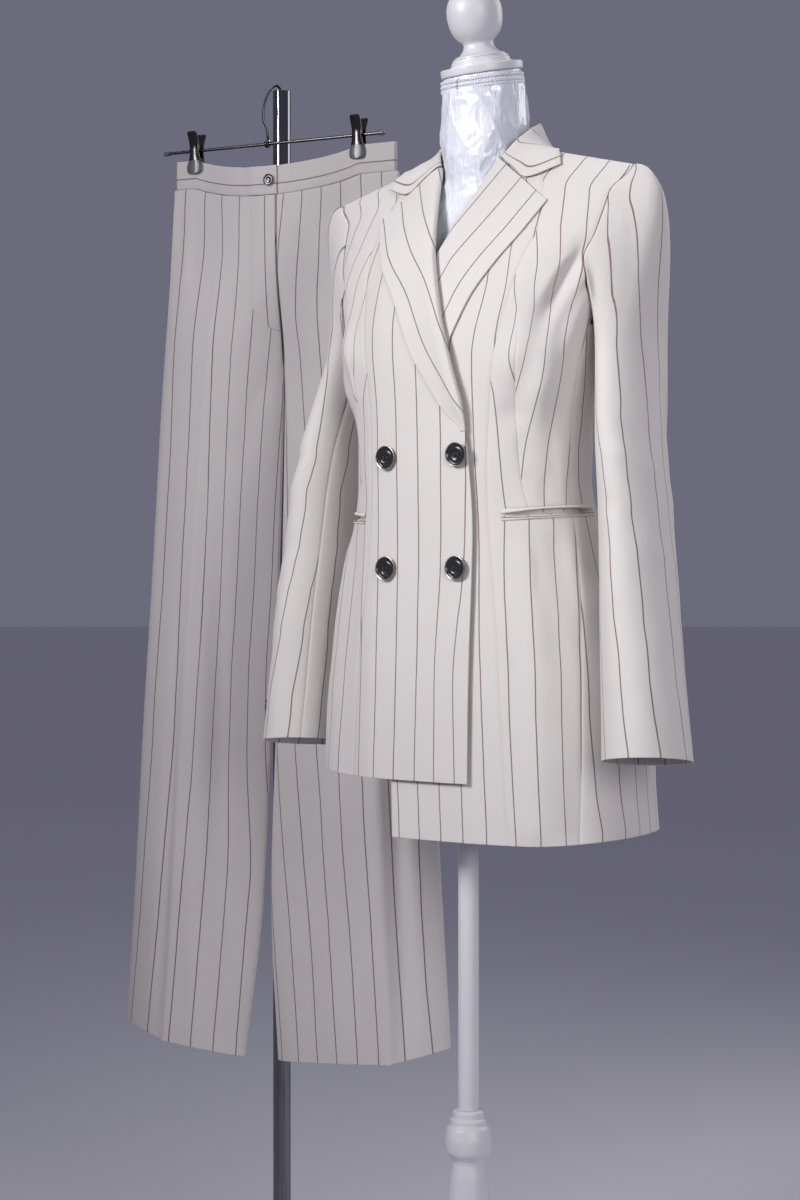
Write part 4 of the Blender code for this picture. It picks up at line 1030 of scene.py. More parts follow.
# (angle0, level0, angle1, level1, depth, width, bow) of each half: finer creases, placed one by one
JACKET_CREASES = {
    1: Creases(
        (
            (66, 1.335, 52, 1.24, -0.003, 0.0075, 0.006), (56, 1.325, 44, 1.255, 0.002, 0.008, 0.004),
            (72, 1.29, 60, 1.215, -0.0028, 0.0065, 0.004), (76, 1.262, 64, 1.196, 0.0013, 0.006, 0.003),
            (47, 1.19, 45, 1.09, -0.0012, 0.009, -0.003), (62, 1.19, 66, 1.085, -0.0013, 0.008, 0.004),
            (52, 1.06, 54, 1.082, 0.001, 0.005, 0.001), (60, 1.062, 61, 1.09, -0.0009, 0.0045, 0.001),
            (70, 1.066, 71, 1.1, 0.0009, 0.0055, 0.002), (48, 1.03, 47, 0.96, -0.0013, 0.0065, -0.002),
            (56, 1.03, 57, 0.93, 0.0012, 0.008, 0.002), (66, 1.03, 68, 0.9, -0.0015, 0.0085, 0.003),
            (36, 0.99, 33, 0.76, -0.0012, 0.011, 0.003), (28, 1.08, 30, 1.0, 0.0006, 0.009, 0.001),
            (96, 1.08, 100, 0.96, -0.0015, 0.009, 0.002), (112, 1.19, 96, 1.12, -0.0015, 0.008, 0.004),
            (150, 1.12, 128, 1.08, 0.0012, 0.0085, 0.002), (166, 1.06, 142, 1.03, -0.0012, 0.0085, 0.003),
            (140, 1.3, 150, 1.18, 0.0012, 0.011, 0.004),
        ),
        FOLD_SCALE,
    ),
    -1: Creases(
        (
            (64, 1.325, 54, 1.235, -0.0019, 0.0075, 0.005), (54, 1.315, 46, 1.245, 0.0012, 0.008, 0.004),
            (70, 1.285, 62, 1.21, -0.0017, 0.0065, 0.004), (60, 1.19, 63, 1.085, -0.0013, 0.0085, 0.003),
            (44, 1.185, 40, 1.095, 0.001, 0.0085, -0.003), (52, 1.028, 50, 0.93, -0.0013, 0.0075, -0.002),
            (64, 1.03, 67, 0.9, 0.0013, 0.0085, 0.003), (30, 1.08, 26, 0.98, -0.0007, 0.009, 0.002),
            (22, 0.96, 20, 0.8, 0.001, 0.011, 0.002), (98, 1.075, 101, 0.96, -0.0015, 0.009, 0.002),
            (114, 1.185, 97, 1.115, -0.0014, 0.008, 0.004), (152, 1.115, 130, 1.08, 0.0012, 0.0085, 0.002),
            (164, 1.055, 144, 1.03, -0.0012, 0.0085, 0.003), (142, 1.295, 150, 1.185, 0.0012, 0.011, 0.004),
        ),
        FOLD_SCALE,
    ),
}


@dataclass
class JacketForm:
    """The jacket's surface about the torso's axis, and the lines where its pieces are cut."""

    chest_level: float = 1.236
    top_level: float = 1.428
    neck_half_width: float = 0.058
    shoulder_at_neck: float = 1.4275
    shoulder_slope: float = 0.260
    armhole_turn: float = 61.0
    armhole_curve_height: float = 0.090
    armhole_top_turn: float = 13.0
    back_neck_level: float = 1.404
    overlap_lift: float = 0.0056
    overlap_start: float = 0.105
    overlap_full: float = 0.058
    overlap_top: tuple[float, float] = (1.31, 1.39)
    # Where the folds fade out: all of them by level, and the finer ones by angle and by level
    folds_top: tuple[float, float] = (1.33, 1.41)
    fine_start: tuple[float, float] = (22.0, 34.0)
    fine_top: tuple[float, float] = (1.30, 1.37)

    def shoulder_height(self, out: Array) -> Array:
        """Height of the shoulder seam at a distance from the centre line."""
        return self.shoulder_at_neck - self.shoulder_slope * (out - self.neck_half_width)

    def folds(self, angle: Array, level: Array, side: int) -> Array:
        """How far the folds of one half move the cloth.

        Args:
            angle: Angles from the centre front, in degrees.
            level: Levels.
            side: 1 for the wearer's left half, -1 for the right.

        Returns:
            The distance out.
        """
        px = angle * FOLD_SCALE
        total = np.zeros(np.broadcast(angle, level).shape)
        for of_side, angle0, level0, angle1, level1, depth, width in JACKET_FOLDS:
            if of_side != side:
                continue
            ax, bx = angle0 * FOLD_SCALE, angle1 * FOLD_SCALE
            length2 = (bx - ax) ** 2 + (level1 - level0) ** 2
            t = np.clip(((px - ax) * (bx - ax) + (level - level0) * (level1 - level0)) / length2, 0, 1)
            away2 = (px - mix(ax, bx, t)) ** 2 + (level - mix(level0, level1, t)) ** 2
            total += depth * np.exp(-away2 / width**2)
        fine = JACKET_CREASES[side].depth(angle, level)
        fine += slow_waves(px, level, 0.075, 0.00045, 11 + side)
        return total + fine * smooth_step(*self.fine_start, angle) * (1 - smooth_step(*self.fine_top, level))

    def section(self, angle: Array, level: Array | float) -> tuple[Array, Array]:
        """The plain body without its folds: how far out and how far back it lies at angles and levels."""
        sine, cosine = np.sin(np.radians(angle)), np.cos(np.radians(angle))
        ahead, row = cosine > 0, JACKET_SECTIONS.row(level)
        power = 2 / np.where(ahead, row["square"], row["back_square"])
        depth = np.where(ahead, row["front"], row["back"])
        x = row["half_width"] * np.sign(sine) * np.abs(sine) ** power
        return x, -depth * np.sign(cosine) * np.abs(cosine) ** power

    def point(self, angle: Array, level: Array, side: int, out: Array | float = 0.0) -> Array:
        """Points of the jacket's outer surface.

        Args:
            angle: Angles from the centre front round to the centre back, in degrees.
            level: Levels; above the chest they run up to the shoulder seam.
            side: 1 for the wearer's left half, -1 for the right.
            out: How far the points stand out from the surface.

        Returns:
            Points, in the arguments' layout.
        """
        angle, level = np.broadcast_arrays(np.asarray(angle, float), np.asarray(level, float))
        sine, cosine = np.sin(np.radians(angle)), np.cos(np.radians(angle))
        x, y = self.section(angle, level)
        share = np.maximum(level - self.chest_level, 0) / (self.top_level - self.chest_level)
        z = mix(np.minimum(level, self.chest_level), self.shoulder_height(np.abs(x)), share)
        round_to = np.abs(angle)
        fold = np.where(angle >= 0, self.folds(round_to, level, side), self.folds(round_to, level, -side))
        moved = out + fold * (1 - smooth_step(*self.folds_top, level))
        return np.stack([side * (x + sine * moved), y - cosine * moved, z], axis=-1)

    def normal(self, angle: float, level: float, side: int) -> Array:
        """The outward normal at one place."""
        around = self.point(angle + 0.5, level, side) - self.point(angle - 0.5, level, side)
        high = min(level + 0.002, self.top_level)
        rise = self.point(angle, high, side) - self.point(angle, level - 0.002, side)
        return unit(np.cross(around, rise) * side)

    def angle_at(self, out: Array, level: Array) -> Array:
        """The angle at which the front lies a distance from the centre line."""
        power = 2 / JACKET_SECTIONS.read("square", level)
        share = np.minimum(np.abs(out) / JACKET_SECTIONS.read("half_width", level), 1.0)
        return np.sign(out) * np.degrees(np.arcsin(share ** (1 / power)))

    def armhole_angle(self, level: Array) -> Array:
        """The angle of the front armhole; the back one mirrors it about the side."""
        low = np.maximum(0.0, 1 - (level - self.chest_level) / self.armhole_curve_height)
        top = smooth_step(1.390, self.top_level, level)
        return self.armhole_turn + (90 - self.armhole_turn) * low**2 + self.armhole_top_turn * top

    def lift(self, angle: Array, level: Array, side: int) -> Array | float:
        """How far the right front stands out to pass over the left one and its lapel."""
        if side > 0:
            return 0.0
        x = self.point(angle, level, side)[..., 0]
        most = self.overlap_lift * (1 - smooth_step(self.overlap_full, self.overlap_start, -x))
        return most * (1 - smooth_step(*self.overlap_top, level))

    def front_edge(self, side: int) -> Callable[[Array], Array]:
        """The front edge of one half, and above the break its roll line, as an angle for a level."""
        column = "over" if side < 0 else "under"
        return lambda level: self.angle_at(FRONT_EDGES.read(column, level), level)

    def princess(self, level: Array) -> Array:
        """The princess seam's angle."""
        return self.angle_at(PRINCESS_SEAM.read("out", level), level)

    def side_front(self, level: Array) -> Array:
        """The side-front seam's angle, and above it the front armhole's."""
        seam = SIDE_SEAMS.read("front_angle", level)
        return np.where(level <= self.chest_level, seam, np.minimum(self.armhole_angle(level), seam))

    def side_back(self, level: Array) -> Array:
        """The side-back seam's angle, and above it the back armhole's."""
        seam = SIDE_SEAMS.read("back_angle", level)
        return np.where(level <= self.chest_level, seam, np.maximum(180 - self.armhole_angle(level), seam))

    def round_length(self, angle: Array, level: Array) -> Array:
        """The distance round the body from the centre front, without the finer folds.

        Args:
            angle: Angles in rows and columns, each row at about one level.
            level: The level of each.

        Returns:
            The distance of each, below zero past the centre front.
        """
        turns = np.linspace(0, 180, 181)
        found = np.empty(angle.shape)
        for i in range(len(angle)):
            length = run(np.stack(self.section(turns, float(np.mean(level[i]))), axis=-1))
            found[i] = np.sign(angle[i]) * np.interp(np.abs(angle[i]), turns, length)
        return found


# The stripes of each body panel, by its kind and side
PANEL_GRAINS = {
    ("front", -1): Grain(
        (0.787, 0.0036, 1.1, 0.985), (0.885, 0.0017, 1.22, 0.985), (1.0, 0.0029, 1.0, 0.98),
        (1.15, 0.0048, 0.95, 0.97), (1.24, 0.01, 1.0, 0.9), (1.3, 0.012, 1.0, 0.95),
    ),
    ("front", 1): Grain(
        (0.727, 0.0809), (0.841, 0.0746), (0.951, 0.0682), (1.03, 0.0655), (1.11, 0.0605),
        (1.207, 0.0574, 1.0, 1.1), (1.28, 0.0677, 1.0, 1.24), (1.33, 0.0632, 1.0, 1.24),
        (1.377, 0.06, 1.0, 1.24), (1.405, 0.05, 1.0, 1.24),
    ),
    ("side", 1): Grain(
        (0.737, -0.0045), (0.777, -0.0106), (0.853, -0.015), (1.0, -0.0142), (1.105, -0.0183), (1.15, -0.015),
        (1.22, -0.0242),
    ),
    ("side", -1): Grain((0.78, -0.008), (1.0, -0.012), (1.22, -0.02)),
    ("back", 1): Grain((0.72, -0.0136), (1.428, -0.0136)),
    ("back", -1): Grain((0.78, -0.0136), (1.428, -0.0136)),
}
DART_OUTSIDE = Grain(
    (1.059, 0.0106, 1.16, 1.15), (1.103, 0.0143, 1.18, 1.09), (1.157, 0.0187, 1.33, 1.1),
    (1.189, 0.0196, 1.45, 1.1), (1.221, 0.0159, 1.62, 1.1), (1.247, 0.015, 1.55, 1.1),
    (1.271, 0.0226, 1.32, 1.1), (1.301, 0.028, 1.19, 1.1), (1.347, 0.0166, 1.02, 1.1),
    (1.389, 0.011, 1.0, 1.1),
)
# Below the pocket, above it on the inner side of the dart, and on its outer side
SIDE_FRONT_GRAINS = {
    1: (
        Grain(
            (0.729, 0.0193, 1.075, 1.5), (0.811, 0.0173, 1.04, 1.45), (0.885, 0.0176, 1.01, 1.4),
            (0.969, 0.0164, 1.02, 1.29), (1.045, 0.0183, 1.117, 1.15),
        ),
        Grain(
            (1.053, -0.0281, 1.05, 1.05), (1.081, -0.0298, 1.05, 1.05), (1.133, -0.0362, 1.05, 1.09),
            (1.171, -0.0434, 1.05, 1.09), (1.209, -0.0548, 1.05, 1.09), (1.239, -0.066, 1.05, 1.09),
        ),
        DART_OUTSIDE,
    ),
    -1: (
        Grain(
            (0.791, -0.009, 0.74, 1.1), (0.913, -0.0126, 0.76, 1.1), (0.985, -0.0118, 0.95, 1.1),
            (1.043, -0.0119, 1.2, 1.1),
        ),
        Grain(
            (1.067, -0.0341, 1.05, 1.05), (1.119, -0.028, 1.05, 1.05), (1.179, -0.037, 1.05, 1.09),
            (1.213, -0.0506, 1.05, 1.09), (1.239, -0.062, 1.05, 1.09),
        ),
        DART_OUTSIDE,
    ),
}


@dataclass
class BodyPanels:
    """The jacket's eight body panels, from the fronts round to the backs."""

    form: JacketForm
    hems: dict[str, float] = field(default_factory=lambda: {"left": 0.722, "right": 0.781})
    step: float = 0.0045
    hem_rise: float = 0.007
    cuts: dict[str, Cut] = field(
        default_factory=lambda: {
            "front": Cut(0.175, 0.71, 0.085),
            "side_front": Cut(0.130, 0.70, 0.058),
            "side": Cut(0.155, 0.51, 0.041),
            "back": Cut(0.250, 0.70, 0.125),
        }
    )
    pocket_level: float = 1.0465
    pocket_rise: float = 0.006
    pocket_angles: tuple[float, float] = (33.0, 91.0)
    pocket_dip: float = 0.0060
    pocket_dip_above: float = 0.0012
    pocket_dip_width: float = 0.0034
    turned_hem: float = 0.040
    shoulder_gap: float = 0.0001
    back_width: float = 0.20
    dart_top: float = 1.240
    dart_gap: float = 0.10
    groove_depth: float = 0.0007
    groove_width: float = 0.0011
    dart: Table = field(
        default_factory=lambda: Table(
            "level angle",
            (
                (0.7, 42.0), (0.95, 44.0), (1.047, 48.5), (1.083, 45.5), (1.167, 41.8), (1.193, 40.0),
                (1.24, 38.5), (1.32, 46.0), (1.428, 60.0),
            ),
        )
    )

    def rows(self, hem: float, top: float) -> Array:
        """Levels from the hem to the top, close together at both and at the pocket."""
        plain = spaced(hem, top, self.step)
        low, high = self.pocket_level - 0.008, self.pocket_level + self.pocket_rise + 0.008
        keep = plain[(plain < low - 0.001) | (plain > high + 0.001)]
        return np.sort(np.concatenate([keep, np.linspace(low, high, 20)]))

    def pocket_line(self, angle: Array) -> Array:
        """Level of the pocket's mouth at an angle."""
        first, last = self.pocket_angles
        return self.pocket_level + self.pocket_rise * (angle - first) / (last - first)

    def mouth(self, angle: Array, level: Array) -> Array:
        """How far the panels dip between the pocket's lips."""
        first, last = self.pocket_angles
        ends = smooth_step(first + 1, first + 8, angle) * (1 - smooth_step(last - 8, last - 1, angle))
        away = (level - self.pocket_line(angle) - self.pocket_dip_above) / self.pocket_dip_width
        return -self.pocket_dip * np.exp(-(away**2)) * ends

    def groove(self, angle: Array, level: Array) -> Array:
        """The dart's stitched line, drawn in a little."""
        away = (angle - self.dart.read("angle", level)) * FOLD_SCALE
        ends = smooth_step(self.pocket_level, self.pocket_level + 0.01, level) * (
            1 - smooth_step(self.dart_top - 0.03, self.dart_top, level)
        )
        return -self.groove_depth * np.exp(-((away / self.groove_width) ** 2)) * ends

    def uv(self, kind: str, side: int, angle: Array, level: Array, middle: Array) -> Array:
        """Where each point lies on the flat cloth.

        Args:
            kind: The panel's kind.
            side: 1 for the wearer's left half, -1 for the right.
            angle: The points' angles.
            level: The points' levels.
            middle: The angle of the panel's straight grain in each row.

        Returns:
            (across, along) of each.
        """
        across = self.form.round_length(angle, level)
        if kind != "front":
            straight = np.repeat(middle[:, None], 2, axis=1)
            levels = np.broadcast_to(level[:, :1], straight.shape)
            across = across - self.form.round_length(straight, levels)[:, :1]
        if kind == "side_front":
            grains = SIDE_FRONT_GRAINS[side]
            below, inside, outside = (grain.flat(across, level) for grain in grains)
            away = np.abs(angle - self.dart.read("angle", level)) + 1e3 * np.abs(level - self.dart_top)
            tip = np.unravel_index(np.argmin(away), away.shape)
            pitch = Finish.CREPE.value.pitch
            inside = inside + pitch * np.round((outside[tip] - inside[tip]) / pitch)
            inside = mix(inside, outside, smooth_step(self.dart_top - 0.075, self.dart_top, level))
            above = np.where((angle < self.dart.read("angle", level)) & (level < self.dart_top), inside, outside)
            flat = np.where(level < self.pocket_line(angle), below, above)
        else:
            flat = PANEL_GRAINS[(kind, side)].flat(across, level)
        return np.stack([flat, level], axis=-1)

    def panel(
        self,
        kind: str,
        side: int,
        levels: Array,
        left: Callable[[Array], Array],
        right: Callable[[Array], Array],
        width: float,
        seams: str,
    ) -> Shape:
        """One panel between two edges.

        Args:
            kind: The panel's kind.
            side: 1 for the wearer's left half, -1 for the right.
            levels: Its levels.
            left: The angle of its edge nearer the centre front, for a level.
            right: The angle of its other edge.
            width: Its rough width.
            seams: Which of its edges are sewn.

        Returns:
            The panel's shape.
        """
        form = self.form
        first, last = left(levels)[:, None], right(levels)[:, None]
        if kind == "side_front":
            halves = [spaced(0.0, size, self.step, (0.0007, 0.0020)) / size for size in (0.032, 0.062)]
            dart = self.dart.read("angle", levels)[:, None]
            dart = mix(first, last, np.clip((dart - first) / (last - first), 0.10, 0.60))
            before, after = dart - self.dart_gap, dart + self.dart_gap
            angle = np.concatenate([mix(first, before, halves[0]), mix(after, last, halves[1])], axis=1)
        else:
            angle = mix(first, last, spaced(0.0, width, self.step)[None, :] / width)
        low = (1 - smooth_step(levels[0], levels[0] + 0.06, levels))[:, None]
        level = levels[:, None] + self.hem_rise * smooth_step(30, 100, angle) * low
        out = form.lift(angle, level, side) + self.mouth(angle, level)
        if kind == "side_front":
            out = out + self.groove(angle, level)
        grid = form.point(angle, level, side, out)
        if levels[-1] > form.top_level - 1e-6:
            grid[-1, :, 1] += (-1 if first[-1, 0] < 90 else 1) * self.shoulder_gap
        uv = self.uv(kind, side, angle, level, ((first + last) / 2)[:, 0])
        return cloth_shell(grid, uv, side < 0, seams=seams, hem=self.turned_hem)

    def back(self, side: int, hem: float) -> Shape:
        """A back panel, cut down at the neck."""
        form = self.form
        shares = spaced(0.0, self.back_width, self.step) / self.back_width
        levels = spaced(hem, form.top_level, self.step)
        neck = 180 - form.angle_at(np.array(form.neck_half_width), np.array(form.top_level))
        at_top = mix(form.side_back(np.array(form.top_level)), 180, shares)
        top = mix(form.top_level, form.back_neck_level, smooth_step(neck, 180, at_top))
        rise = np.maximum(levels - form.chest_level, 0) / (form.top_level - form.chest_level)
        level = np.minimum(levels, form.chest_level)[:, None] + (top - form.chest_level)[None, :] * rise[:, None]
        edge = form.side_back(levels)
        angle = mix(edge[:, None], 180.0, shares[None, :])
        level = level + self.hem_rise * (1 - smooth_step(hem, hem + 0.06, levels))[:, None]
        grid = form.point(angle, level, side)
        grid[-1, :, 1] += self.shoulder_gap
        uv = self.uv("back", side, angle, level, np.full_like(edge, 180.0))
        return cloth_shell(grid, uv, side < 0, seams="flt", hem=self.turned_hem)

    def build(self, shop: Workshop) -> None:
        """Makes all the body panels."""
        form = self.form
        for word, side in SIDES.items():
            full, body = (self.rows(self.hems[word], top) for top in (form.top_level, form.chest_level))
            edges = {
                "front": (full, form.front_edge(side), form.princess, 0.12, "lt"),
                "side_front": (full, form.princess, form.side_front, 0.09, "flt"),
                "side": (body, form.side_front, form.side_back, 0.12, "flt"),
            }
            shapes = {kind: self.panel(kind, side, *rest) for kind, rest in edges.items()}
            shapes["back"] = self.back(side, self.hems[word])
            for kind, shape in shapes.items():
                shop.cloth(f"cloth_{kind}_{word}", shape, self.cuts[kind], [f"{kind}_{word}"], ["form_torso"])


LAPEL_EDGE = Table(
    "level over under",
    (
        (1.122, -0.053, -0.051), (1.135, -0.047, -0.039), (1.15, -0.031, -0.026), (1.184, -0.007, 0.001),
        (1.208, 0.01, 0.021), (1.24, 0.0268, 0.038), (1.268, 0.0415, 0.051), (1.302, 0.0655, 0.072),
        (1.335, 0.0885, 0.091), (1.372, 0.108, 0.108),
    ),
)
LAPEL_TOP = Table("share level", ((0.0, 1.4095), (0.54, 1.3915), (1.0, 1.3720)))
LAPEL_PLIES = Table(
    "ply share beyond lift pressed",
    (
        (0, 0.0, 0.0022, -0.0016, -0.0016), (1, 0.0, 0.0042, 0.0016, 0.0006),
        (2, 0.0, 0.0028, 0.0056, 0.0025), (3, 0.12, 0.0, 0.0066, 0.0025), (4, 0.34, 0.0, 0.005, 0.0025),
        (5, 0.54, 0.0, 0.0038, 0.0025), (6, 0.78, 0.0, 0.003, 0.0025), (7, 1.0, 0.0, 0.0026, 0.0025),
    ),
)


@dataclass
class Lapels:
    """The two lapels, which fold round the fronts' edges at the roll line."""

    form: JacketForm
    break_level: float = 1.122
    thickness: float = 0.0016
    # How far up from the break a lapel is pressed flat and drawn in, and how it slides out from under the other
    pressed_up: float = 0.12
    drawn_up: float = 0.16
    slides_out: tuple[float, float] = (0.006, 0.026)
    cut: Cut = field(default_factory=lambda: Cut(0.105, 0.29, 0.0200, "folded"))
    edge_to_stripe: dict[int, Table] = field(
        default_factory=lambda: {
            1: Table("up inset", ((0.0, 0.0186), (1.0, 0.0186))),
            -1: Table("up inset", ((0.0, 0.0195), (0.45, 0.0195), (0.72, 0.0125), (1.0, 0.0060))),
        }
    )

    def lapel(self, side: int) -> Shape:
        """One lapel.

        Args:
            side: 1 for the wearer's left one, -1 for the right.

        Returns:
            Its shape.
        """
        form = self.form
        up = spaced(0.035, 1.0, 0.012, (0.002, 0.005, 0.010))[:, None]
        ply = np.concatenate([np.linspace(0, 3, 13)[:-1], np.linspace(3, 6.9, 24), [6.95, 6.98, 7.0]])[None, :]
        share = LAPEL_PLIES.read("share", ply)
        level = mix(self.break_level, LAPEL_TOP.read("level", share), up)
        column = "over" if side < 0 else "under"
        roll = FRONT_EDGES.read(column, level)
        edge = np.maximum(LAPEL_EDGE.read(column, level), roll + 0.004)
        place = mix(roll, edge, share) - LAPEL_PLIES.read("beyond", ply)
        free = smooth_step(0.0, self.pressed_up, up) + 0 * ply
        if side > 0:
            free = smooth_step(*self.slides_out, place + FRONT_EDGES.read("over", level))
        start = smooth_step(0.0, self.drawn_up, up)
        place = place + LAPEL_PLIES.read("beyond", ply) * (1 - start) * 0.9
        lift = mix(LAPEL_PLIES.read("pressed", ply), LAPEL_PLIES.read("lift", ply), free) * mix(0.25, 1.0, start)
        angle = form.angle_at(place, level)
        grid = form.point(angle, level, side, lift + form.lift(angle, level, side))
        length = run(grid, 1)
        across = length - length[:, -1:] + self.edge_to_stripe[side].read("inset", up)
        uv = np.stack([across, level + 0 * across], axis=-1)
        return cloth_shell(grid, uv, side < 0, self.thickness)

    def build(self, shop: Workshop) -> None:
        """Makes both lapels."""
        for word, side in SIDES.items():
            under = [f"cloth_front_{word}"]
            shop.cloth(f"cloth_lapel_{word}", self.lapel(side), self.cut, [f"lapel_{word}"], under)


COLLAR_STATIONS = Table(
    "share foot_radius foot_z fold_radius fold_z edge_radius",
    (
        (0.0, 0.0625, 1.421, 0.064, 1.461, 0.078), (0.3, 0.0575, 1.424, 0.058, 1.46, 0.079),
        (0.6, 0.0545, 1.429, 0.0535, 1.45, 0.085), (0.8, 0.052, 1.429, 0.0505, 1.437, 0.09),
        (1.0, 0.0475, 1.416, 0.0475, 1.418, 0.112),
    ),
)
COLLAR_END = Table(
    "ply out level lift",
    (
        (0, 0.0415, 1.4125, -0.001), (1, 0.04, 1.413, 0.0006), (2, 0.0395, 1.413, 0.0024),
        (3, 0.0415, 1.4125, 0.0054), (4, 0.0465, 1.4105, 0.0062), (5, 0.061, 1.403, 0.005),
        (6, 0.0775, 1.3955, 0.0042), (7, 0.11, 1.414, 0.0042),
    ),
)


@dataclass
class Collar:
    """The collar: a stand round the neck, its fold, and the fall that lies on the shoulders."""

    form: JacketForm
    neck_y: float = 0.003
    clearance: float = 0.0030
    fold_turn: float = 117.0
    edge_turn: float = 102.0
    last_share: float = 0.88
    stripe_scale: float = 1.061
    thickness: float = 0.0016
    cut: Cut = field(default_factory=lambda: Cut(0.115, 0.31, 0.0260, "folded"))

    def neck_point(self, turn: Array, radius: Array, height: Array, side: int) -> Array:
        """Points round the neck. The turn runs from the centre back to the front."""
        turn = np.radians(turn)
        x, y = side * radius * np.sin(turn), self.neck_y + radius * np.cos(turn)
        return np.stack(np.broadcast_arrays(x, y, height), axis=-1)

    def on_cloth(self, points: Array) -> Array:
        """Lifts points that are too near the shoulders or back, or below them.

        Args:
            points: The points.

        Returns:
            The points, lifted where they need it.
        """
        form = self.form
        x, y = np.abs(points[..., 0]), points[..., 1]
        low, high = np.full(x.shape, form.chest_level), np.full(x.shape, form.top_level)
        for _ in range(24):
            level = (low + high) / 2
            angle = form.angle_at(x, level)
            angle = np.where(y < 0, angle, 180 - angle)
            under = np.abs(form.point(angle, level, 1)[..., 1]) > np.abs(y)
            low, high = np.where(under, level, low), np.where(under, high, level)
        height = form.point(angle, level, 1)[..., 2]
        around = form.point(angle + 0.5, level, 1) - form.point(angle - 0.5, level, 1)
        above = np.minimum(level + 0.002, form.top_level)
        rise = form.point(angle, above, 1) - form.point(angle, level - 0.002, 1)
        steep = np.maximum(np.abs(unit(np.cross(around, rise))[..., 2]), 0.35)
        lifted = points.copy()
        lifted[..., 2] = np.maximum(points[..., 2], height + self.clearance / steep)
        return lifted

    def lines(self, share: Array, side: int) -> Array:
        """Sections through the collar: up the stand, over the fold and down the fall, eight points in each."""
        row = COLLAR_STATIONS.row(share)
        turn, edge_turn = self.fold_turn * share, self.edge_turn * share
        foot, fold, low, top = row["foot_radius"], row["fold_radius"], row["foot_z"], row["fold_z"]
        edge = self.on_cloth(self.neck_point(edge_turn, row["edge_radius"], self.form.chest_level, side))
        shoulder = self.neck_point(turn, fold + 0.0070, top - 0.0030, side)
        line = [
            self.neck_point(turn, foot, low, side),
            self.neck_point(turn, mix(foot, fold, 0.5) - 0.0010, mix(low, top, 0.5), side),
            self.neck_point(turn, fold - 0.0005, mix(low, top, 0.86), side),
            self.neck_point(turn, fold + 0.0028, top + 0.0008, side),
            shoulder,
        ]
        for part, sag in ((0.40, 0.0015), (0.75, 0.0010)):
            line.append(self.on_cloth(mix(shoulder, edge, part) + [0, 0, sag]))
        return np.stack([*line, edge], axis=-2)

    def end(self, side: int) -> Array:
        """The collar's front end, laid on the front just above the lapel's top edge."""
        ply = np.arange(8.0)
        level = COLLAR_END.read("level", ply)
        angle = self.form.angle_at(COLLAR_END.read("out", ply), level)
        return self.form.point(angle, level, side, COLLAR_END.read("lift", ply))

    def build(self, shop: Workshop) -> None:
        """Makes the collar."""
        halves = {}
        for side in (1, -1):
            lines = self.lines(np.linspace(0, self.last_share, 45), side)
            end = self.end(side)
            extra = [mix(lines[-1], end, share) for share in np.linspace(0, 1, 13)[1:]]
            for line in extra[:-1]:
                line[4:] = self.on_cloth(line[4:])
            halves[side] = np.concatenate([lines, np.stack(extra)])
        stations = np.concatenate([halves[-1][:0:-1], halves[1]])
        grid = np.stack([refined(line, 34) for line in stations])
        middle = grid[:, 22]
        length, fall = run(middle), run(grid, 1)
        across = (length - length[len(length) // 2])[:, None] + 0 * fall
        uv = np.stack([across * self.stripe_scale + Finish.CREPE.value.pitch / 2, fall], axis=-1)
        shape = cloth_shell(grid, uv, True, self.thickness)
        shop.cloth("cloth_collar", shape, self.cut, ["collar"], ["cloth_back_left", "cloth_back_right"])


SLEEVE_SECTIONS = Table(
    "height x y half_thick half_wide lean",
    (
        (0.815, 0.223, -0.025, 0.0425, 0.052, 12.0), (0.876, 0.2165, -0.0205, 0.0395, 0.0535, 12.0),
        (0.955, 0.2085, -0.015, 0.036, 0.056, 12.0), (1.058, 0.197, -0.006, 0.0315, 0.0575, 12.0),
        (1.105, 0.192, -0.003, 0.029, 0.0575, 9.0), (1.21, 0.178, 0.016, 0.026, 0.054, 2.0),
    ),
)
SLEEVE_SCALE = math.radians(1.0) * 0.045
# (turn0, height0, turn1, height1, depth, width, bow)
SLEEVE_CREASES = {
    1: Creases(
        (
            (40, 1.33, -30, 1.29, 0.001, 0.012, 0.002), (95, 1.15, 20, 1.12, -0.0022, 0.009, 0.005),
            (80, 1.11, 10, 1.085, 0.0018, 0.009, 0.004), (110, 1.06, 40, 1.035, -0.0018, 0.008, 0.003),
            (60, 1.02, -20, 0.99, 0.0013, 0.01, 0.004), (100, 0.96, 40, 0.93, -0.0013, 0.009, 0.003),
            (-10, 1.18, -60, 1.1, -0.0018, 0.011, 0.004), (-20, 1.08, -80, 1.0, 0.0016, 0.012, 0.004),
            (-30, 0.96, -80, 0.9, -0.0012, 0.012, 0.004), (30, 1.2, 26, 0.86, 0.001, 0.014, 0.004),
            (64, 0.9, 40, 0.845, -0.001, 0.008, 0.002), (20, 0.88, 0, 0.83, 0.001, 0.01, 0.002),
        ),
        SLEEVE_SCALE,
    ),
    -1: Creases(
        (
            (70, 1.24, 20, 1.2, -0.0014, 0.01, 0.003), (100, 1.12, 30, 1.09, -0.0022, 0.009, 0.005),
            (90, 1.085, 20, 1.06, 0.0018, 0.009, 0.004), (110, 1.03, 50, 1.005, -0.0018, 0.008, 0.003),
            (80, 0.98, 10, 0.955, 0.0013, 0.01, 0.004), (105, 0.93, 60, 0.9, -0.0013, 0.009, 0.003),
            (40, 0.89, 26, 0.845, 0.0012, 0.008, 0.002), (-10, 1.16, -60, 1.09, -0.0018, 0.011, 0.004),
            (-30, 1.05, -80, 0.98, 0.0016, 0.012, 0.004), (60, 1.18, 66, 0.86, 0.001, 0.014, 0.004),
        ),
        SLEEVE_SCALE,
    ),
}
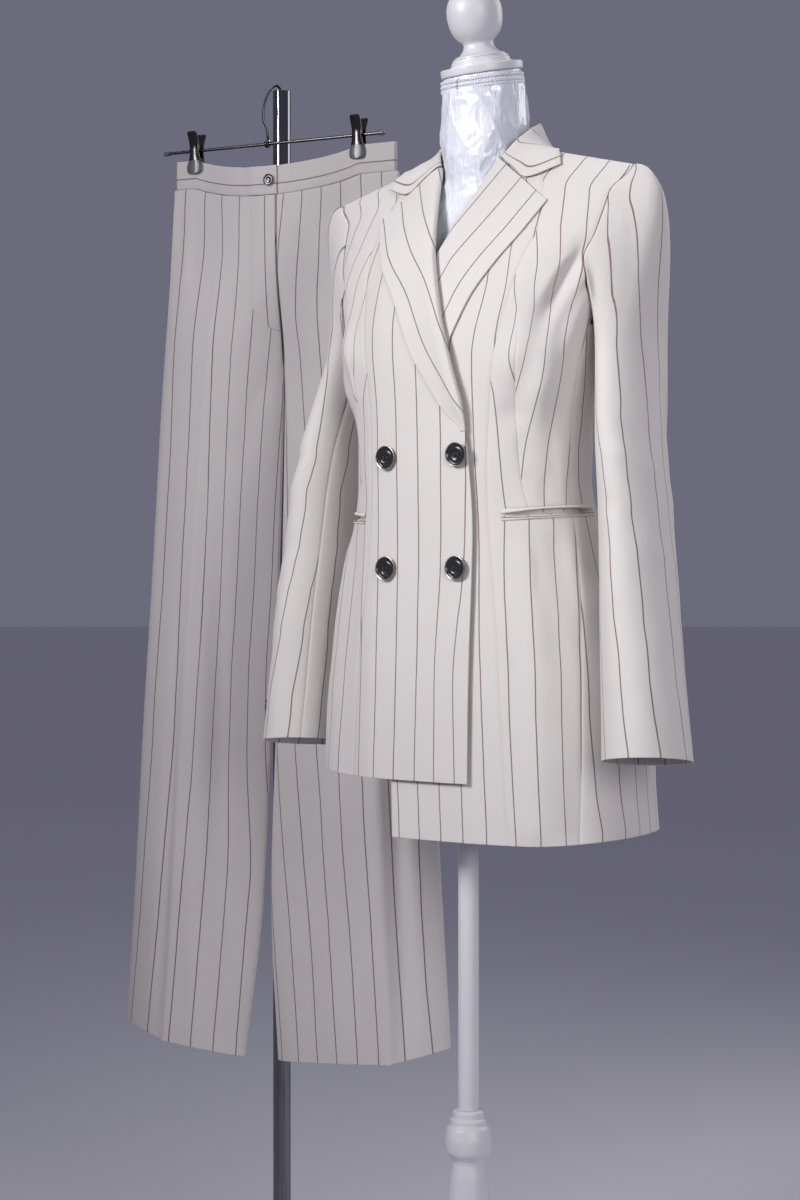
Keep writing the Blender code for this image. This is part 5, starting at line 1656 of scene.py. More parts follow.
# The stripes of each sleeve piece, by its kind and side
SLEEVE_GRAINS = {
    ("top", 1): Grain(
        (0.82, 0.042, 0.68, 0.86), (0.852, 0.0457, 0.7, 0.9), (0.91, 0.048, 0.72, 0.95),
        (0.984, 0.0503, 0.74, 0.93), (1.03, 0.0534, 0.75, 1.05), (1.08, 0.0541, 0.74, 1.1),
        (1.161, 0.0505, 0.82, 0.9), (1.207, 0.0502, 0.9, 0.76), (1.267, 0.0456, 1.22, 0.72),
        (1.363, 0.0448, 1.62, 0.72), (1.389, 0.0407, 1.65, 0.72), (1.41, 0.033, 1.6, 0.72),
        reach=0.030,
    ),
    ("top", -1): Grain(
        (0.862, 0.0665, 1.0, 0.87), (0.908, 0.0741, 1.0, 0.97), (0.962, 0.0813, 1.0, 1.08),
        (1.004, 0.0851, 1.0, 1.09), (1.06, 0.0885, 1.0, 1.06), (1.115, 0.0861), (1.167, 0.0774, 1.0, 1.12),
        (1.267, 0.0508, 1.1, 0.75), (1.39, 0.04, 1.2, 0.75),
    ),
    ("under", 1): Grain((0.82, 0.14), (1.2, 0.13)),
    ("under", -1): Grain((0.82, 0.131), (0.96, 0.1317), (1.03, 0.1285), (1.1, 0.1245), (1.153, 0.1179)),
}


@dataclass
class Sleeves:
    """The two-piece sleeves: a top and an under sleeve each, open at the cuff."""

    form: JacketForm
    front_seam: float = 145.0
    back_seam: float = -118.0
    cuff: float = 0.815
    bicep: float = 1.21
    cap_rise: float = 0.20
    cuff_slope: float = 0.150
    cuff_low: tuple[float, float] = (0.615, 0.788)
    swing_top: float = 1.10
    # How far each cuff is moved out and back, and how much thinner it is
    swings: dict[int, tuple[float, float, float]] = field(
        default_factory=lambda: {1: (0.0080, -0.0100, 0.0), -1: (-0.0010, 0.0, -0.0040)}
    )
    middle_radius: float = 0.045
    turned_hem: float = 0.045
    widths: dict[str, float] = field(default_factory=lambda: {"top": 0.24, "under": 0.09})
    step: float = 0.0045
    top_cut: Cut = field(default_factory=lambda: Cut(0.23, 0.60, 0.105))
    under_cut: Cut = field(default_factory=lambda: Cut(0.11, 0.56, 0.038))

    def ring(self, turn: Array, height: Array, side: int) -> Array:
        """Points of the sleeve below the armhole. The turn runs from the outside to the front, in degrees."""
        row, (x0, y0, thin) = SLEEVE_SECTIONS.row(height), self.swings[side]
        swing = 1 - smooth_step(self.cuff, self.swing_top, height)
        centre_x, centre_y = row["x"] + x0 * swing, row["y"] + y0 * swing
        lean, angle = np.radians(row["lean"]), np.radians(turn)
        fold = SLEEVE_CREASES[side].depth(turn, height) * smooth_step(self.cuff, self.cuff + 0.03, height)
        fold += slow_waves(angle * self.middle_radius, height, 0.09, 0.0004, 31 + side)
        thick = (row["half_thick"] + thin * swing + fold) * np.cos(angle)
        wide = (row["half_wide"] + fold) * np.sin(angle)
        x = centre_x + thick * np.cos(lean) + wide * np.sin(lean)
        y = centre_y + thick * np.sin(lean) - wide * np.cos(lean)
        share = 1 - smooth_step(self.cuff, self.bicep, height)
        low = (y - centre_y) * self.cuff_low[1] - side * (x - centre_x) * self.cuff_low[0]
        drop = (low + 0.9 * row["half_wide"]) * self.cuff_slope * share
        return np.stack(np.broadcast_arrays(side * x, y, height - drop), axis=-1)

    def armhole(self, turn: Array, side: int) -> Array:
        """Points of the armhole seam, from the shoulder round by the front."""
        form, angle = self.form, np.radians(turn)
        level = mix(form.chest_level, form.top_level, (1 + np.cos(angle)) / 2)
        seam = form.armhole_angle(level)
        points = form.point(np.where(np.sin(angle) >= 0, seam, 180 - seam), level, side)
        return points + [side * 0.0010, 0, 0]

    def point(self, turn: Array, rise: Array, side: int) -> Array:
        """Points of the sleeve. Above the upper arm the rise runs through the cap.

        Args:
            turn: Turns, in degrees.
            rise: Heights, and above the upper arm places in the cap.
            side: 1 for the wearer's left sleeve, -1 for the right.

        Returns:
            The points, in rows and columns.
        """
        turn, rise = np.broadcast_arrays(turn, rise)
        below = self.ring(turn, np.minimum(rise, self.bicep), side)
        low, high = self.ring(turn, np.full(turn.shape, self.bicep), side), self.armhole(turn, side)
        outside = (1 + np.cos(np.radians(turn))) / 2
        reach = np.linalg.norm(high - low, axis=-1, keepdims=True)
        up = low - self.ring(turn, np.full(turn.shape, self.bicep - 0.05), side)
        start = unit(up) * reach * 1.15
        way = np.stack([-side * mix(0.10, 0.95, outside), 0 * outside, mix(0.9, 0.08, outside)], axis=-1)
        t = np.clip((rise - self.bicep) / self.cap_rise, 0, 1)[..., None]
        cap = (
            low * (2 * t**3 - 3 * t**2 + 1)
            + start * (t**3 - 2 * t**2 + t)
            + high * (3 * t**2 - 2 * t**3)
            + way * reach * (t**3 - t**2)
        )
        return np.where((rise <= self.bicep)[..., None], below, cap)

    def across(self, turn: Array, rise: Array, grid: Array, side: int) -> Array:
        """The distance across the grain from the sleeve's middle, which is straight up into the cap.

        Args:
            turn: The points' turns.
            rise: Their rises.
            grid: The points.
            side: 1 for the wearer's left sleeve, -1 for the right.

        Returns:
            The distance of each.
        """
        turns = np.linspace(-130, 250, 381)
        found = np.empty(grid.shape[:2])
        for i in range(len(grid)):
            height = min(float(rise[i, 0]), self.bicep)
            ring = self.ring(turns, np.full(turns.shape, height), side)
            length = run(ring)
            length -= np.interp(0.0, turns, length)
            found[i] = np.interp(turn[i], turns, length)
            if rise[i, 0] > self.bicep:
                ahead = (turns >= -90) & (turns <= 90)
                by_depth = np.interp(-grid[i, :, 1], -ring[ahead][:, 1], length[ahead])
                share = smooth_step(0.0, 0.35, (rise[i, 0] - self.bicep) / self.cap_rise)
                found[i] = np.where(np.abs(turn[i]) <= 90, mix(found[i], by_depth, share), found[i])
        return found

    def piece(self, kind: str, side: int, first: float, last: float) -> Shape:
        """A sleeve piece between two seams.

        Args:
            kind: The piece's kind.
            side: 1 for the wearer's left sleeve, -1 for the right.
            first: The turn of one seam.
            last: The turn of the other.

        Returns:
            Its shape.
        """
        width = self.widths[kind]
        rises = spaced(self.cuff, self.bicep + self.cap_rise, self.step)
        turn = mix(first, last, spaced(0.0, width, self.step) / width)[None, :] + 0 * rises[:, None]
        rise = rises[:, None] + 0 * turn
        grid = self.point(turn, rise, side)
        across = SLEEVE_GRAINS[(kind, side)].flat(self.across(turn, rise, grid, side), rise)
        return cloth_shell(grid, np.stack([across, rise], axis=-1), side > 0, seams="flt", hem=self.turned_hem)

    def build(self, shop: Workshop) -> None:
        """Makes both sleeves."""
        for word, side in SIDES.items():
            for kind, shape, cut in (
                ("top", self.piece("top", side, self.back_seam, self.front_seam), self.top_cut),
                ("under", self.piece("under", side, self.front_seam, 360 + self.back_seam), self.under_cut),
            ):
                shop.cloth(f"cloth_sleeve_{kind}_{word}", shape, cut, [f"sleeve_{kind}_{word}"], ["form_torso"])


@dataclass
class Pockets:
    """The two lips of each pocket, flat folded strips that lie on the body panels and stand a little open."""

    panels: BodyPanels
    mouth: float = 0.0024
    widths: dict[bool, float] = field(default_factory=lambda: {True: 0.0052, False: 0.0040})
    gape: float = 0.0030
    height: float = 0.0013
    thickness: float = 0.0007
    cut: Cut = field(default_factory=lambda: Cut(0.010, 0.115, 0.00062, "stretched"))

    def lip(self, side: int, upper: bool) -> Shape:
        """One lip.

        Args:
            side: 1 for the wearer's left pocket, -1 for the right.
            upper: Whether it is the upper lip.

        Returns:
            Its shape.
        """
        panels, form, width = self.panels, self.panels.form, self.widths[upper]
        along = np.linspace(0, 1, 110)[None, :]
        up = np.array([0.0, 0.06, 0.18, 0.38, 0.62, 0.82, 0.94, 1.0])[:, None]
        inner = 1 - up if upper else up
        way = 1 if upper else -1
        angle = mix(*panels.pocket_angles, along) + 0 * up
        open_by = self.gape * np.sin(along * math.pi) ** 0.8 * (1.0 if upper else 0.5)
        distance = self.mouth / 2 + width * (1 - inner) + open_by * inner
        level = panels.pocket_line(angle) + way * distance
        crown = np.sqrt(np.maximum(1 - (2 * up - 1) ** 2, 0.0))
        out = 0.0003 + self.height * crown * (0.75 + 0.9 * inner * np.sin(along * math.pi))
        grid = form.point(angle, level, side, out + form.lift(angle, level, side))
        lengthways = form.round_length(angle, level)
        across = (Finish.CREPE.value.pitch / 2 if upper else (inner - 0.85) * width) + 0 * angle
        return cloth_shell(grid, np.stack([across, lengthways], axis=-1), side < 0, self.thickness)

    def build(self, shop: Workshop) -> None:
        """Makes all four lips."""
        for word, side in SIDES.items():
            for name, upper in (("upper", True), ("lower", False)):
                node = f"welt_{name}_{word}"
                shop.cloth(f"cloth_{node}", self.lip(side, upper), self.cut, [node], [f"cloth_front_{word}"])


BUTTON_PROFILE = (
    (0.003, -0.0008), (0.003, 0.0001), (0.0104, 0.0003), (0.012, 0.001), (0.0122, 0.0019), (0.0119, 0.0027),
    (0.0113, 0.0028), (0.0106, 0.0026), (0.0098, 0.0017), (0.0074, 0.0016), (0.0069, 0.0021), (0.006, 0.0022),
    (0.0054, 0.0016), (0.002, 0.0014),
)


@dataclass
class Button:
    """A black button with a silver rim, a raised ring, four holes and thread through them."""

    scale: float = 1.0
    hole_radius: float = 0.00085
    hole_place: float = 0.0019
    rim_radius: float = 0.0116
    rim_thick: float = 0.00062
    rim_height: float = 0.00262
    thread_radius: float = 0.00042

    def place(self, shop: Workshop, name: str, base: Array, axis: Array, node: str) -> None:
        """Makes one button.

        Args:
            shop: Makes the pieces.
            name: The piece's name.
            base: The middle of its underside.
            axis: The way that it faces.
            node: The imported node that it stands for.
        """
        axis = unit(np.asarray(axis, float))
        aside = unit(np.cross(axis, [0.0, 0.0, 1.0]))
        ahead = np.cross(axis, aside)
        size = self.scale

        def at(x: float, y: float, z: float) -> Array:
            """A point of the button in the torso's frame."""
            return base + size * (aside * x + ahead * y + axis * z)

        rows = [(radius * size, height * size) for radius, height in rounded_profile(BUTTON_PROFILE, 0.0004, 3)]
        out, pair, radius = self.hole_place, (-self.hole_place, self.hole_place), self.rim_radius
        holes = [(at(x, y, -0.0002), at(x, y, 0.0040)) for x in pair for y in pair]
        body = self.drilled(shop, turned_shape(rows, base, axis, 56), holes)
        turns = np.linspace(0, 2 * math.pi, 57)
        ring = np.array([at(radius * math.cos(t), radius * math.sin(t), self.rim_height) for t in turns])
        parts = [body, tube_shape(ring, self.rim_thick * size, 8, axis)]
        for x in pair:
            stitch = ((-out, 0.0008), (-0.0016, 0.0019), (0.0016, 0.0019), (out, 0.0008))
            path = smooth_path(np.array([at(x, y, z) for y, z in stitch]), 0.0006)
            parts.append(tube_shape(path, self.thread_radius * size, 6))
        shape = joined(parts)
        shape.slots = np.repeat([0, 1, 2, 2], [len(part.faces) for part in parts])
        shop.piece(name, shape, (Finish.BUTTON, Finish.RIM, Finish.FOOT), "black_button", [node], 35.0)

    def drilled(self, shop: Workshop, body: Shape, holes: Sequence[tuple[Array, Array]]) -> Shape:
        """Cuts the thread holes.

        Args:
            shop: Makes the meshes.
            body: The turned body.
            holes: The two ends of each hole.

        Returns:
            The body with its holes.
        """
        solid = shop.object_of("button_blank", body, (Finish.BUTTON,), None)
        cutter = joined([tube_shape(np.array(ends), self.hole_radius * self.scale, 12) for ends in holes])
        drill = shop.object_of("button_drill", cutter, (Finish.BUTTON,), None)
        cut = solid.modifiers.new("holes", "BOOLEAN")
        cut.object, cut.operation, cut.solver = drill, "DIFFERENCE", "EXACT"
        bpy.context.view_layer.update()
        mesh = bpy.data.meshes.new_from_object(solid.evaluated_get(bpy.context.evaluated_depsgraph_get()))
        points = np.array([vertex.co for vertex in mesh.vertices]) - shop.shift
        faces = [tuple(face.vertices) for face in mesh.polygons]
        for made in (solid, drill):
            bpy.data.objects.remove(made)
        bpy.data.meshes.remove(mesh)
        return Shape(points, faces)


@dataclass
class Fastenings:
    """The jacket's four front buttons and the button by each cuff."""

    form: JacketForm
    sleeves: Sleeves
    out: float = 0.0442
    levels: tuple[float, float] = (1.108, 0.995)
    tilts: dict[int, float] = field(default_factory=lambda: {-1: 9.0, 1: -3.0})
    cuff_turns: dict[int, float] = field(default_factory=lambda: {1: -75.0, -1: 30.0})
    above_cuff: float = 0.038
    front_lift: float = 0.0018
    cuff_lift: float = 0.0012

    def build(self, shop: Workshop) -> None:
        """Makes the jacket's buttons."""
        number, button = 0, Button()
        for way in (-1, 1):
            for level in self.levels:
                number += 1
                angle = self.form.angle_at(np.array(-way * self.out), np.array(level))
                normal = self.form.normal(angle, level, -1)
                base = self.form.point(angle, level, -1, self.form.overlap_lift) + normal * self.front_lift
                turn = Matrix.Rotation(math.radians(self.tilts[way]), 3, "Z")
                axis = np.array(turn @ Vector(normal))
                button.place(shop, f"front_button_{number}", base, axis, f"button_front_{number}")
        for word, side in SIDES.items():
            point, turn = self.sleeves.point, np.array([self.cuff_turns[side]])
            height = np.array([self.sleeves.cuff + self.above_cuff])
            around = point(turn + 3, height, side) - point(turn - 3, height, side)
            up = point(turn, height + 0.004, side) - point(turn, height - 0.004, side)
            axis = unit(np.cross(up, around) * side)[0]
            base = point(turn, height, side)[0] + axis * self.cuff_lift
            button.place(shop, f"cuff_button_{word}", base, axis, f"button_sleeve_{word}")


# Trousers


LEFT_LEG = Table(
    "height out crease inner front back",
    (
        (0.4, 0.222, 0.164, -0.008, 0.046, 0.028), (0.6, 0.209, 0.152, -0.018, 0.044, 0.026),
        (0.8, 0.197, 0.14, -0.012, 0.038, 0.024), (1.0, 0.184, 0.118, -0.003, 0.03, 0.022),
        (1.218, 0.171, 0.096, 0.001, 0.025, 0.021), (1.35, 0.16, 0.082, 0.0004, 0.022, 0.02),
        (1.5, 0.15, 0.074, 0.0004, 0.02, 0.02),
    ),
)
RIGHT_LEG = Table(
    "height out crease inner front back",
    (
        (0.4, -0.226, -0.15, -0.056, 0.036, 0.024), (0.6, -0.211, -0.136, -0.029, 0.036, 0.024),
        (0.8, -0.199, -0.125, -0.017, 0.034, 0.023), (1.0, -0.185, -0.11, -0.007, 0.03, 0.022),
        (1.218, -0.171, -0.094, -0.001, 0.025, 0.021), (1.35, -0.16, -0.082, -0.0004, 0.022, 0.02),
        (1.5, -0.15, -0.074, -0.0004, 0.02, 0.02),
    ),
)
# (u0, height0, u1, height1, depth, width, bow) of each leg's front
LEG_CREASES = {
    1: Creases(
        (
            (0.03, 1.4, 0.09, 1.3, -0.0016, 0.01, 0.004), (0.012, 1.33, 0.06, 1.235, 0.0014, 0.01, 0.004),
            (0.01, 1.24, 0.05, 1.13, -0.0018, 0.012, 0.006), (0.055, 1.12, 0.045, 0.84, 0.0018, 0.016, 0.004),
            (0.15, 1.18, 0.16, 0.86, -0.0016, 0.016, 0.003), (0.06, 0.8, 0.05, 0.46, -0.002, 0.018, 0.004),
            (0.11, 0.9, 0.105, 0.56, 0.0015, 0.014, 0.004), (0.178, 0.4, 0.152, 0.88, -0.0085, 0.011, 0.001),
            (0.198, 0.42, 0.176, 0.8, 0.0035, 0.011, 0.002),
        )
    ),
    -1: Creases(
        (
            (-0.118, 1.45, -0.122, 1.345, -0.002, 0.007, 0.002),
            (-0.128, 1.45, -0.134, 1.33, 0.0014, 0.007, 0.002),
            (-0.02, 1.33, -0.06, 1.24, 0.0014, 0.01, 0.004),
            (-0.012, 1.24, -0.05, 1.13, -0.0018, 0.012, 0.006),
            (-0.055, 1.12, -0.06, 0.84, 0.0016, 0.016, 0.004),
            (-0.15, 1.18, -0.16, 0.86, -0.0016, 0.016, 0.003),
            (-0.08, 0.8, -0.095, 0.46, -0.0018, 0.018, 0.004),
            (-0.16, 0.42, -0.13, 0.96, -0.004, 0.011, 0.002),
            (-0.114, 0.42, -0.098, 0.98, 0.004, 0.013, 0.002),
            (-0.086, 0.45, -0.076, 1.02, -0.0036, 0.01, 0.002),
        )
    ),
}
# The stripes of each leg, by its side and whether it is the front layer
LEG_GRAINS = {
    (1, True): Grain(
        (0.43, -0.0134, 0.9, 0.8), (0.58, -0.0145, 0.875, 0.82), (0.68, -0.0184, 0.855, 0.78),
        (0.78, -0.0197, 0.83, 0.78), (1.0, -0.014, 0.85, 0.85), (1.17, -0.006, 0.88, 0.9),
        (1.27, -0.002, 0.87, 0.95), (1.38, -0.001, 1.05, 1.0), (1.44, 0.001, 1.15, 1.0),
    ),
    (-1, True): Grain(
        (0.44, 0.0072, 0.73, 0.97), (0.62, 0.0123, 0.76, 0.95), (0.8, 0.0202, 0.74, 1.24),
        (0.91, 0.0185, 0.76, 1.3), (1.03, 0.015, 0.78, 1.3), (1.2, 0.008, 0.84, 1.22),
        (1.29, 0.004, 0.84, 1.12), (1.37, 0.003, 0.85, 1.08), (1.44, -0.005, 0.95, 0.9),
    ),
    (1, False): Grain((0.43, 0.004), (1.44, 0.004)),
    (-1, False): Grain((0.43, 0.004), (1.44, 0.004)),
}


@dataclass
class Trousers:
    """Wide-leg trousers hung by the waistband: two fronts, two backs, the waistband and the fly."""

    x: float = -0.398
    y: float = 0.129
    turn: float = 14.0
    waist_top: float = 1.4965
    waist_sag: float = 0.019
    band_height: float = 0.034
    band_gap: float = 0.0003
    crotch: float = 1.218
    fly_bottom: float = 1.283
    clips: tuple[float, float] = (-0.122, 0.100)
    clip_reach: float = 0.013
    pinch: float = 0.0023
    hem_inner: float = 0.4100
    hem_outer: float = 0.4440
    step: float = 0.0050
    leg_length: float = 1.04
    leg_width: float = 0.20
    crease_height: float = 0.0011
    crease_width: float = 0.0045
    # Heights between which the legs take the waist's shape, and between which their folds fade out
    waist_start: float = 1.26
    folds_top: tuple[float, float] = (1.43, 1.46)
    rise_top: float = 1.40
    rise_depth: float = 0.020
    leg_cut: Cut = field(default_factory=lambda: Cut(0.27, 1.06, 0.203))
    band_cut: Cut = field(default_factory=lambda: Cut(0.66, 0.034, 0.022))
    fly_cut: Cut = field(default_factory=lambda: Cut(0.036, 0.16, 0.0053))
    stripe_up_band: float = 0.36
    bulge_most: float = 0.019
    lap_lift: float = 0.0024
    lap_fade: tuple[float, float] = (-0.045, -0.030)
    side_turn: float = 0.149
    under_end: float = -0.022
    turned_hem: float = 0.045
    fly_width: float = 0.034
    fly_inset: float = 0.0010
    fly_foot: float = 0.28
    stitches_top: float = 1.440
    button_u: float = -0.0075
    button_below: float = 0.017
    button_scale: float = 0.57
    fly_stripe: float = 0.0140
    lap_end: float = 0.0020

    def place(self, u: Array | float, w: Array | float, z: Array | float) -> Array:
        """Points from the trousers' own frame: u to the wearer's left, w forwards."""
        turn = math.radians(self.turn)
        x = self.x + u * math.cos(turn) + w * math.sin(turn)
        y = self.y + u * math.sin(turn) - w * math.cos(turn)
        return np.stack(np.broadcast_arrays(x, y, z), axis=-1).astype(float)

    def drop(self, u: Array) -> Array:
        """How far the waist sags between the clips."""
        middle, half = sum(self.clips) / 2, (self.clips[1] - self.clips[0]) / 2
        return self.waist_sag * np.maximum(0.0, 1 - ((u - middle) / half) ** 2)

    def bulge(self, u: Array) -> Array:
        """How far the waist stands open between the clips, which pinch it shut."""
        middle, half = sum(self.clips) / 2, (self.clips[1] - self.clips[0]) / 2 - self.clip_reach
        return self.pinch + self.bulge_most * np.maximum(0.0, 1 - ((u - middle) / half) ** 2) ** 1.5

    def section(self, rows: Table, share: Array, height: Array, front: bool) -> tuple[Array, Array]:
        """One layer of a leg.

        Args:
            rows: The leg's table.
            share: Runs from the side seam over the crease to the inside.
            height: Heights.
            front: Whether it is the front layer.

        Returns:
            u and w of each point.
        """
        row = rows.row(height)
        depth = row["front"] if front else row["back"]
        outer = share < 0.5
        part = np.where(outer, share / 0.5, (1 - share) / 0.5)
        swell = 0.5 * part + 0.5 * np.sqrt(np.maximum(1 - (1 - part) ** 2, 0))
        u = np.where(outer, mix(row["out"], row["crease"], part), mix(row["inner"], row["crease"], part))
        seam = np.where(outer, 0.0, mix(0.0, self.rise_depth, smooth_step(self.crotch, self.rise_top, height)))
        w = seam + (depth - seam) * swell
        above = smooth_step(self.waist_start, self.waist_top - self.band_height, height)
        w = mix(w, np.where(share > 0, self.bulge(u), 0.0), above)
        inside = (share > 0) & ((share < 1) | (height > self.crotch))
        w = np.where(inside, np.maximum(w, self.pinch * np.clip(share / 0.02, 0, 1)), w)
        side = 1 if rows is LEFT_LEG else -1
        fold = LEG_CREASES[side].depth(u, height) + slow_waves(u, height, 0.16, 0.0005, 51 + side + 7 * front)
        away = smooth_step(0.0, 0.12, share) * (1 - smooth_step(0.90, 1.0, share))
        pressed = self.crease_height * np.exp(-((u - row["crease"]) / self.crease_width) ** 2)
        w = w + (fold * away + pressed * (1 - above)) * (1 - smooth_step(*self.folds_top, height))
        return u, w if front else -w

    def leg(self, rows: Table, front: bool) -> Shape:
        """One layer of a leg, from the hem to the waistband."""
        side = 1 if rows is LEFT_LEG else -1
        rises = spaced(0.0, self.leg_length, self.step) / self.leg_length
        shares = spaced(0.0, self.leg_width, self.step) / self.leg_width
        share = shares[None, :] + 0 * rises[:, None]
        hem = mix(self.hem_outer, self.hem_inner, share)
        guess = self.section(rows, share, np.full(share.shape, self.waist_top), front)[0]
        top = self.waist_top - self.band_height - self.band_gap - self.drop(guess)
        height = mix(hem, top, rises[:, None])
        u, w = self.section(rows, share, height, front)
        grid = self.place(u, w, height)
        length = run(grid, 1)
        middle = np.array([np.interp(0.5, shares, row) for row in length])[:, None]
        across = LEG_GRAINS[(side, front)].flat((length - middle) * -side, height)
        flip = (side > 0) == front
        uv = np.stack([across, height], axis=-1)
        return cloth_shell(grid, uv, flip, seams="flt", sunk=0.0006, hem=self.turned_hem)

    def waistband(self) -> Shape:
        """A strip that runs from its lapped end round the back to the end below it."""
        front = np.linspace(self.lap_end, -self.side_turn, 60)
        back = np.linspace(-self.side_turn, self.side_turn, 90)
        under = np.linspace(self.side_turn, self.under_end, 60)
        lapped = self.bulge(front) + self.lap_lift * smooth_step(*self.lap_fade, front)
        depths = np.concatenate([lapped, -self.bulge(back), self.bulge(under)])
        path = np.stack([np.concatenate([front, back, under]), depths], axis=-1)
        heights = spaced(self.waist_top - self.band_height, self.waist_top, 0.0035, (0.0006, 0.0014, 0.0026))
        u, w = path[:, 0][None, :], path[:, 1][None, :]
        height = heights[:, None]
        up = (height - heights[0]) / self.band_height
        swell = 0.0006 * np.sin(up * math.pi)
        grid = self.place(u + 0 * height, w + np.sign(w) * swell, height - self.drop(u))
        length = run(path)[None, :]
        across = (up - self.stripe_up_band) * self.band_height
        uv = np.stack(np.broadcast_arrays(across, length), axis=-1)
        return cloth_shell(grid, uv, True, 0.0016, seams="b", sunk=0.0005)

    def front_w(self, u: Array, height: Array) -> Array:
        """Depth of the right leg's front layer beside the fly."""
        inner, crease = RIGHT_LEG.read("inner", height), RIGHT_LEG.read("crease", height)
        share = 1 - 0.5 * np.clip((u - inner) / (crease - inner), 0.0, 1.0)
        return np.maximum(self.section(RIGHT_LEG, share, height, True)[1], self.pinch)

    def fly_edge(self, height: Array) -> Array:
        """How wide the fly is at a height; its foot is curved."""
        up = (height - self.fly_bottom) / (self.waist_top - self.band_height - self.waist_sag - self.fly_bottom)
        return self.fly_width * np.sqrt(np.maximum(1 - (1 - np.minimum(up / self.fly_foot, 1)) ** 2, 0.02))

    def fly(self) -> Shape:
        """The fly, a layer on the right front that is pressed flat along its stitched outline."""
        top = self.waist_top - self.band_height - self.waist_sag - 0.001
        height = spaced(self.fly_bottom, top, 0.004)[:, None]
        across = spaced(0.0, self.fly_width, 0.0035)[None, :] / self.fly_width
        width = self.fly_edge(height)
        u = -width * (1 - across) - self.fly_inset
        w = self.front_w(u, height + 0 * u) + 0.0008 + 0.0012 * smooth_step(0.0, 0.5, across)
        grid = self.place(u, w, height)
        uv = np.stack([u + self.fly_stripe, height + 0 * u], axis=-1)
        return cloth_shell(grid, uv, False, 0.0007)

    def build(self, shop: Workshop) -> None:
        """Makes the trousers, their stitching and their button."""
        rod = ["hanger_rod"]
        for word, rows in (("left", LEFT_LEG), ("right", RIGHT_LEG)):
            for part, front in (("front", True), ("back", False)):
                node = f"trouser_{part}_{word}"
                shop.cloth(f"cloth_{node}", self.leg(rows, front), self.leg_cut, [node], rod)
        shop.cloth("cloth_waistband", self.waistband(), self.band_cut, ["waistband"], rod)
        shop.cloth("cloth_fly", self.fly(), self.fly_cut, ["fly"], ["cloth_trouser_front_right"])
        height = np.linspace(self.stitches_top, self.fly_bottom + 0.0012, 70)
        u = np.append(0.0022 - self.fly_edge(height) - self.fly_inset, -0.0030)
        height = np.append(height, self.fly_bottom + 0.0010)
        w = self.front_w(u, height) + 0.0011
        path = self.place(u, w, height)
        ahead = self.place(0.0, 1.0, 0.0) - self.place(0.0, 0.0, 0.0)
        trim = PathTrim(PathTool.STITCHES, 0.0034, 0.0024, 0.00028)
        stitches = trim.along(shop, "fly_stitches", [(path, np.broadcast_to(ahead, path.shape))], Finish.THREAD)
        shop.keep(stitches, "pinstriped_crepe")
        height = self.waist_top - self.waist_sag - self.button_below
        base = self.place(self.button_u, self.bulge(self.button_u) + 0.0034, height)
        Button(self.button_scale).place(shop, "waist_button", base, ahead, "button_waist")


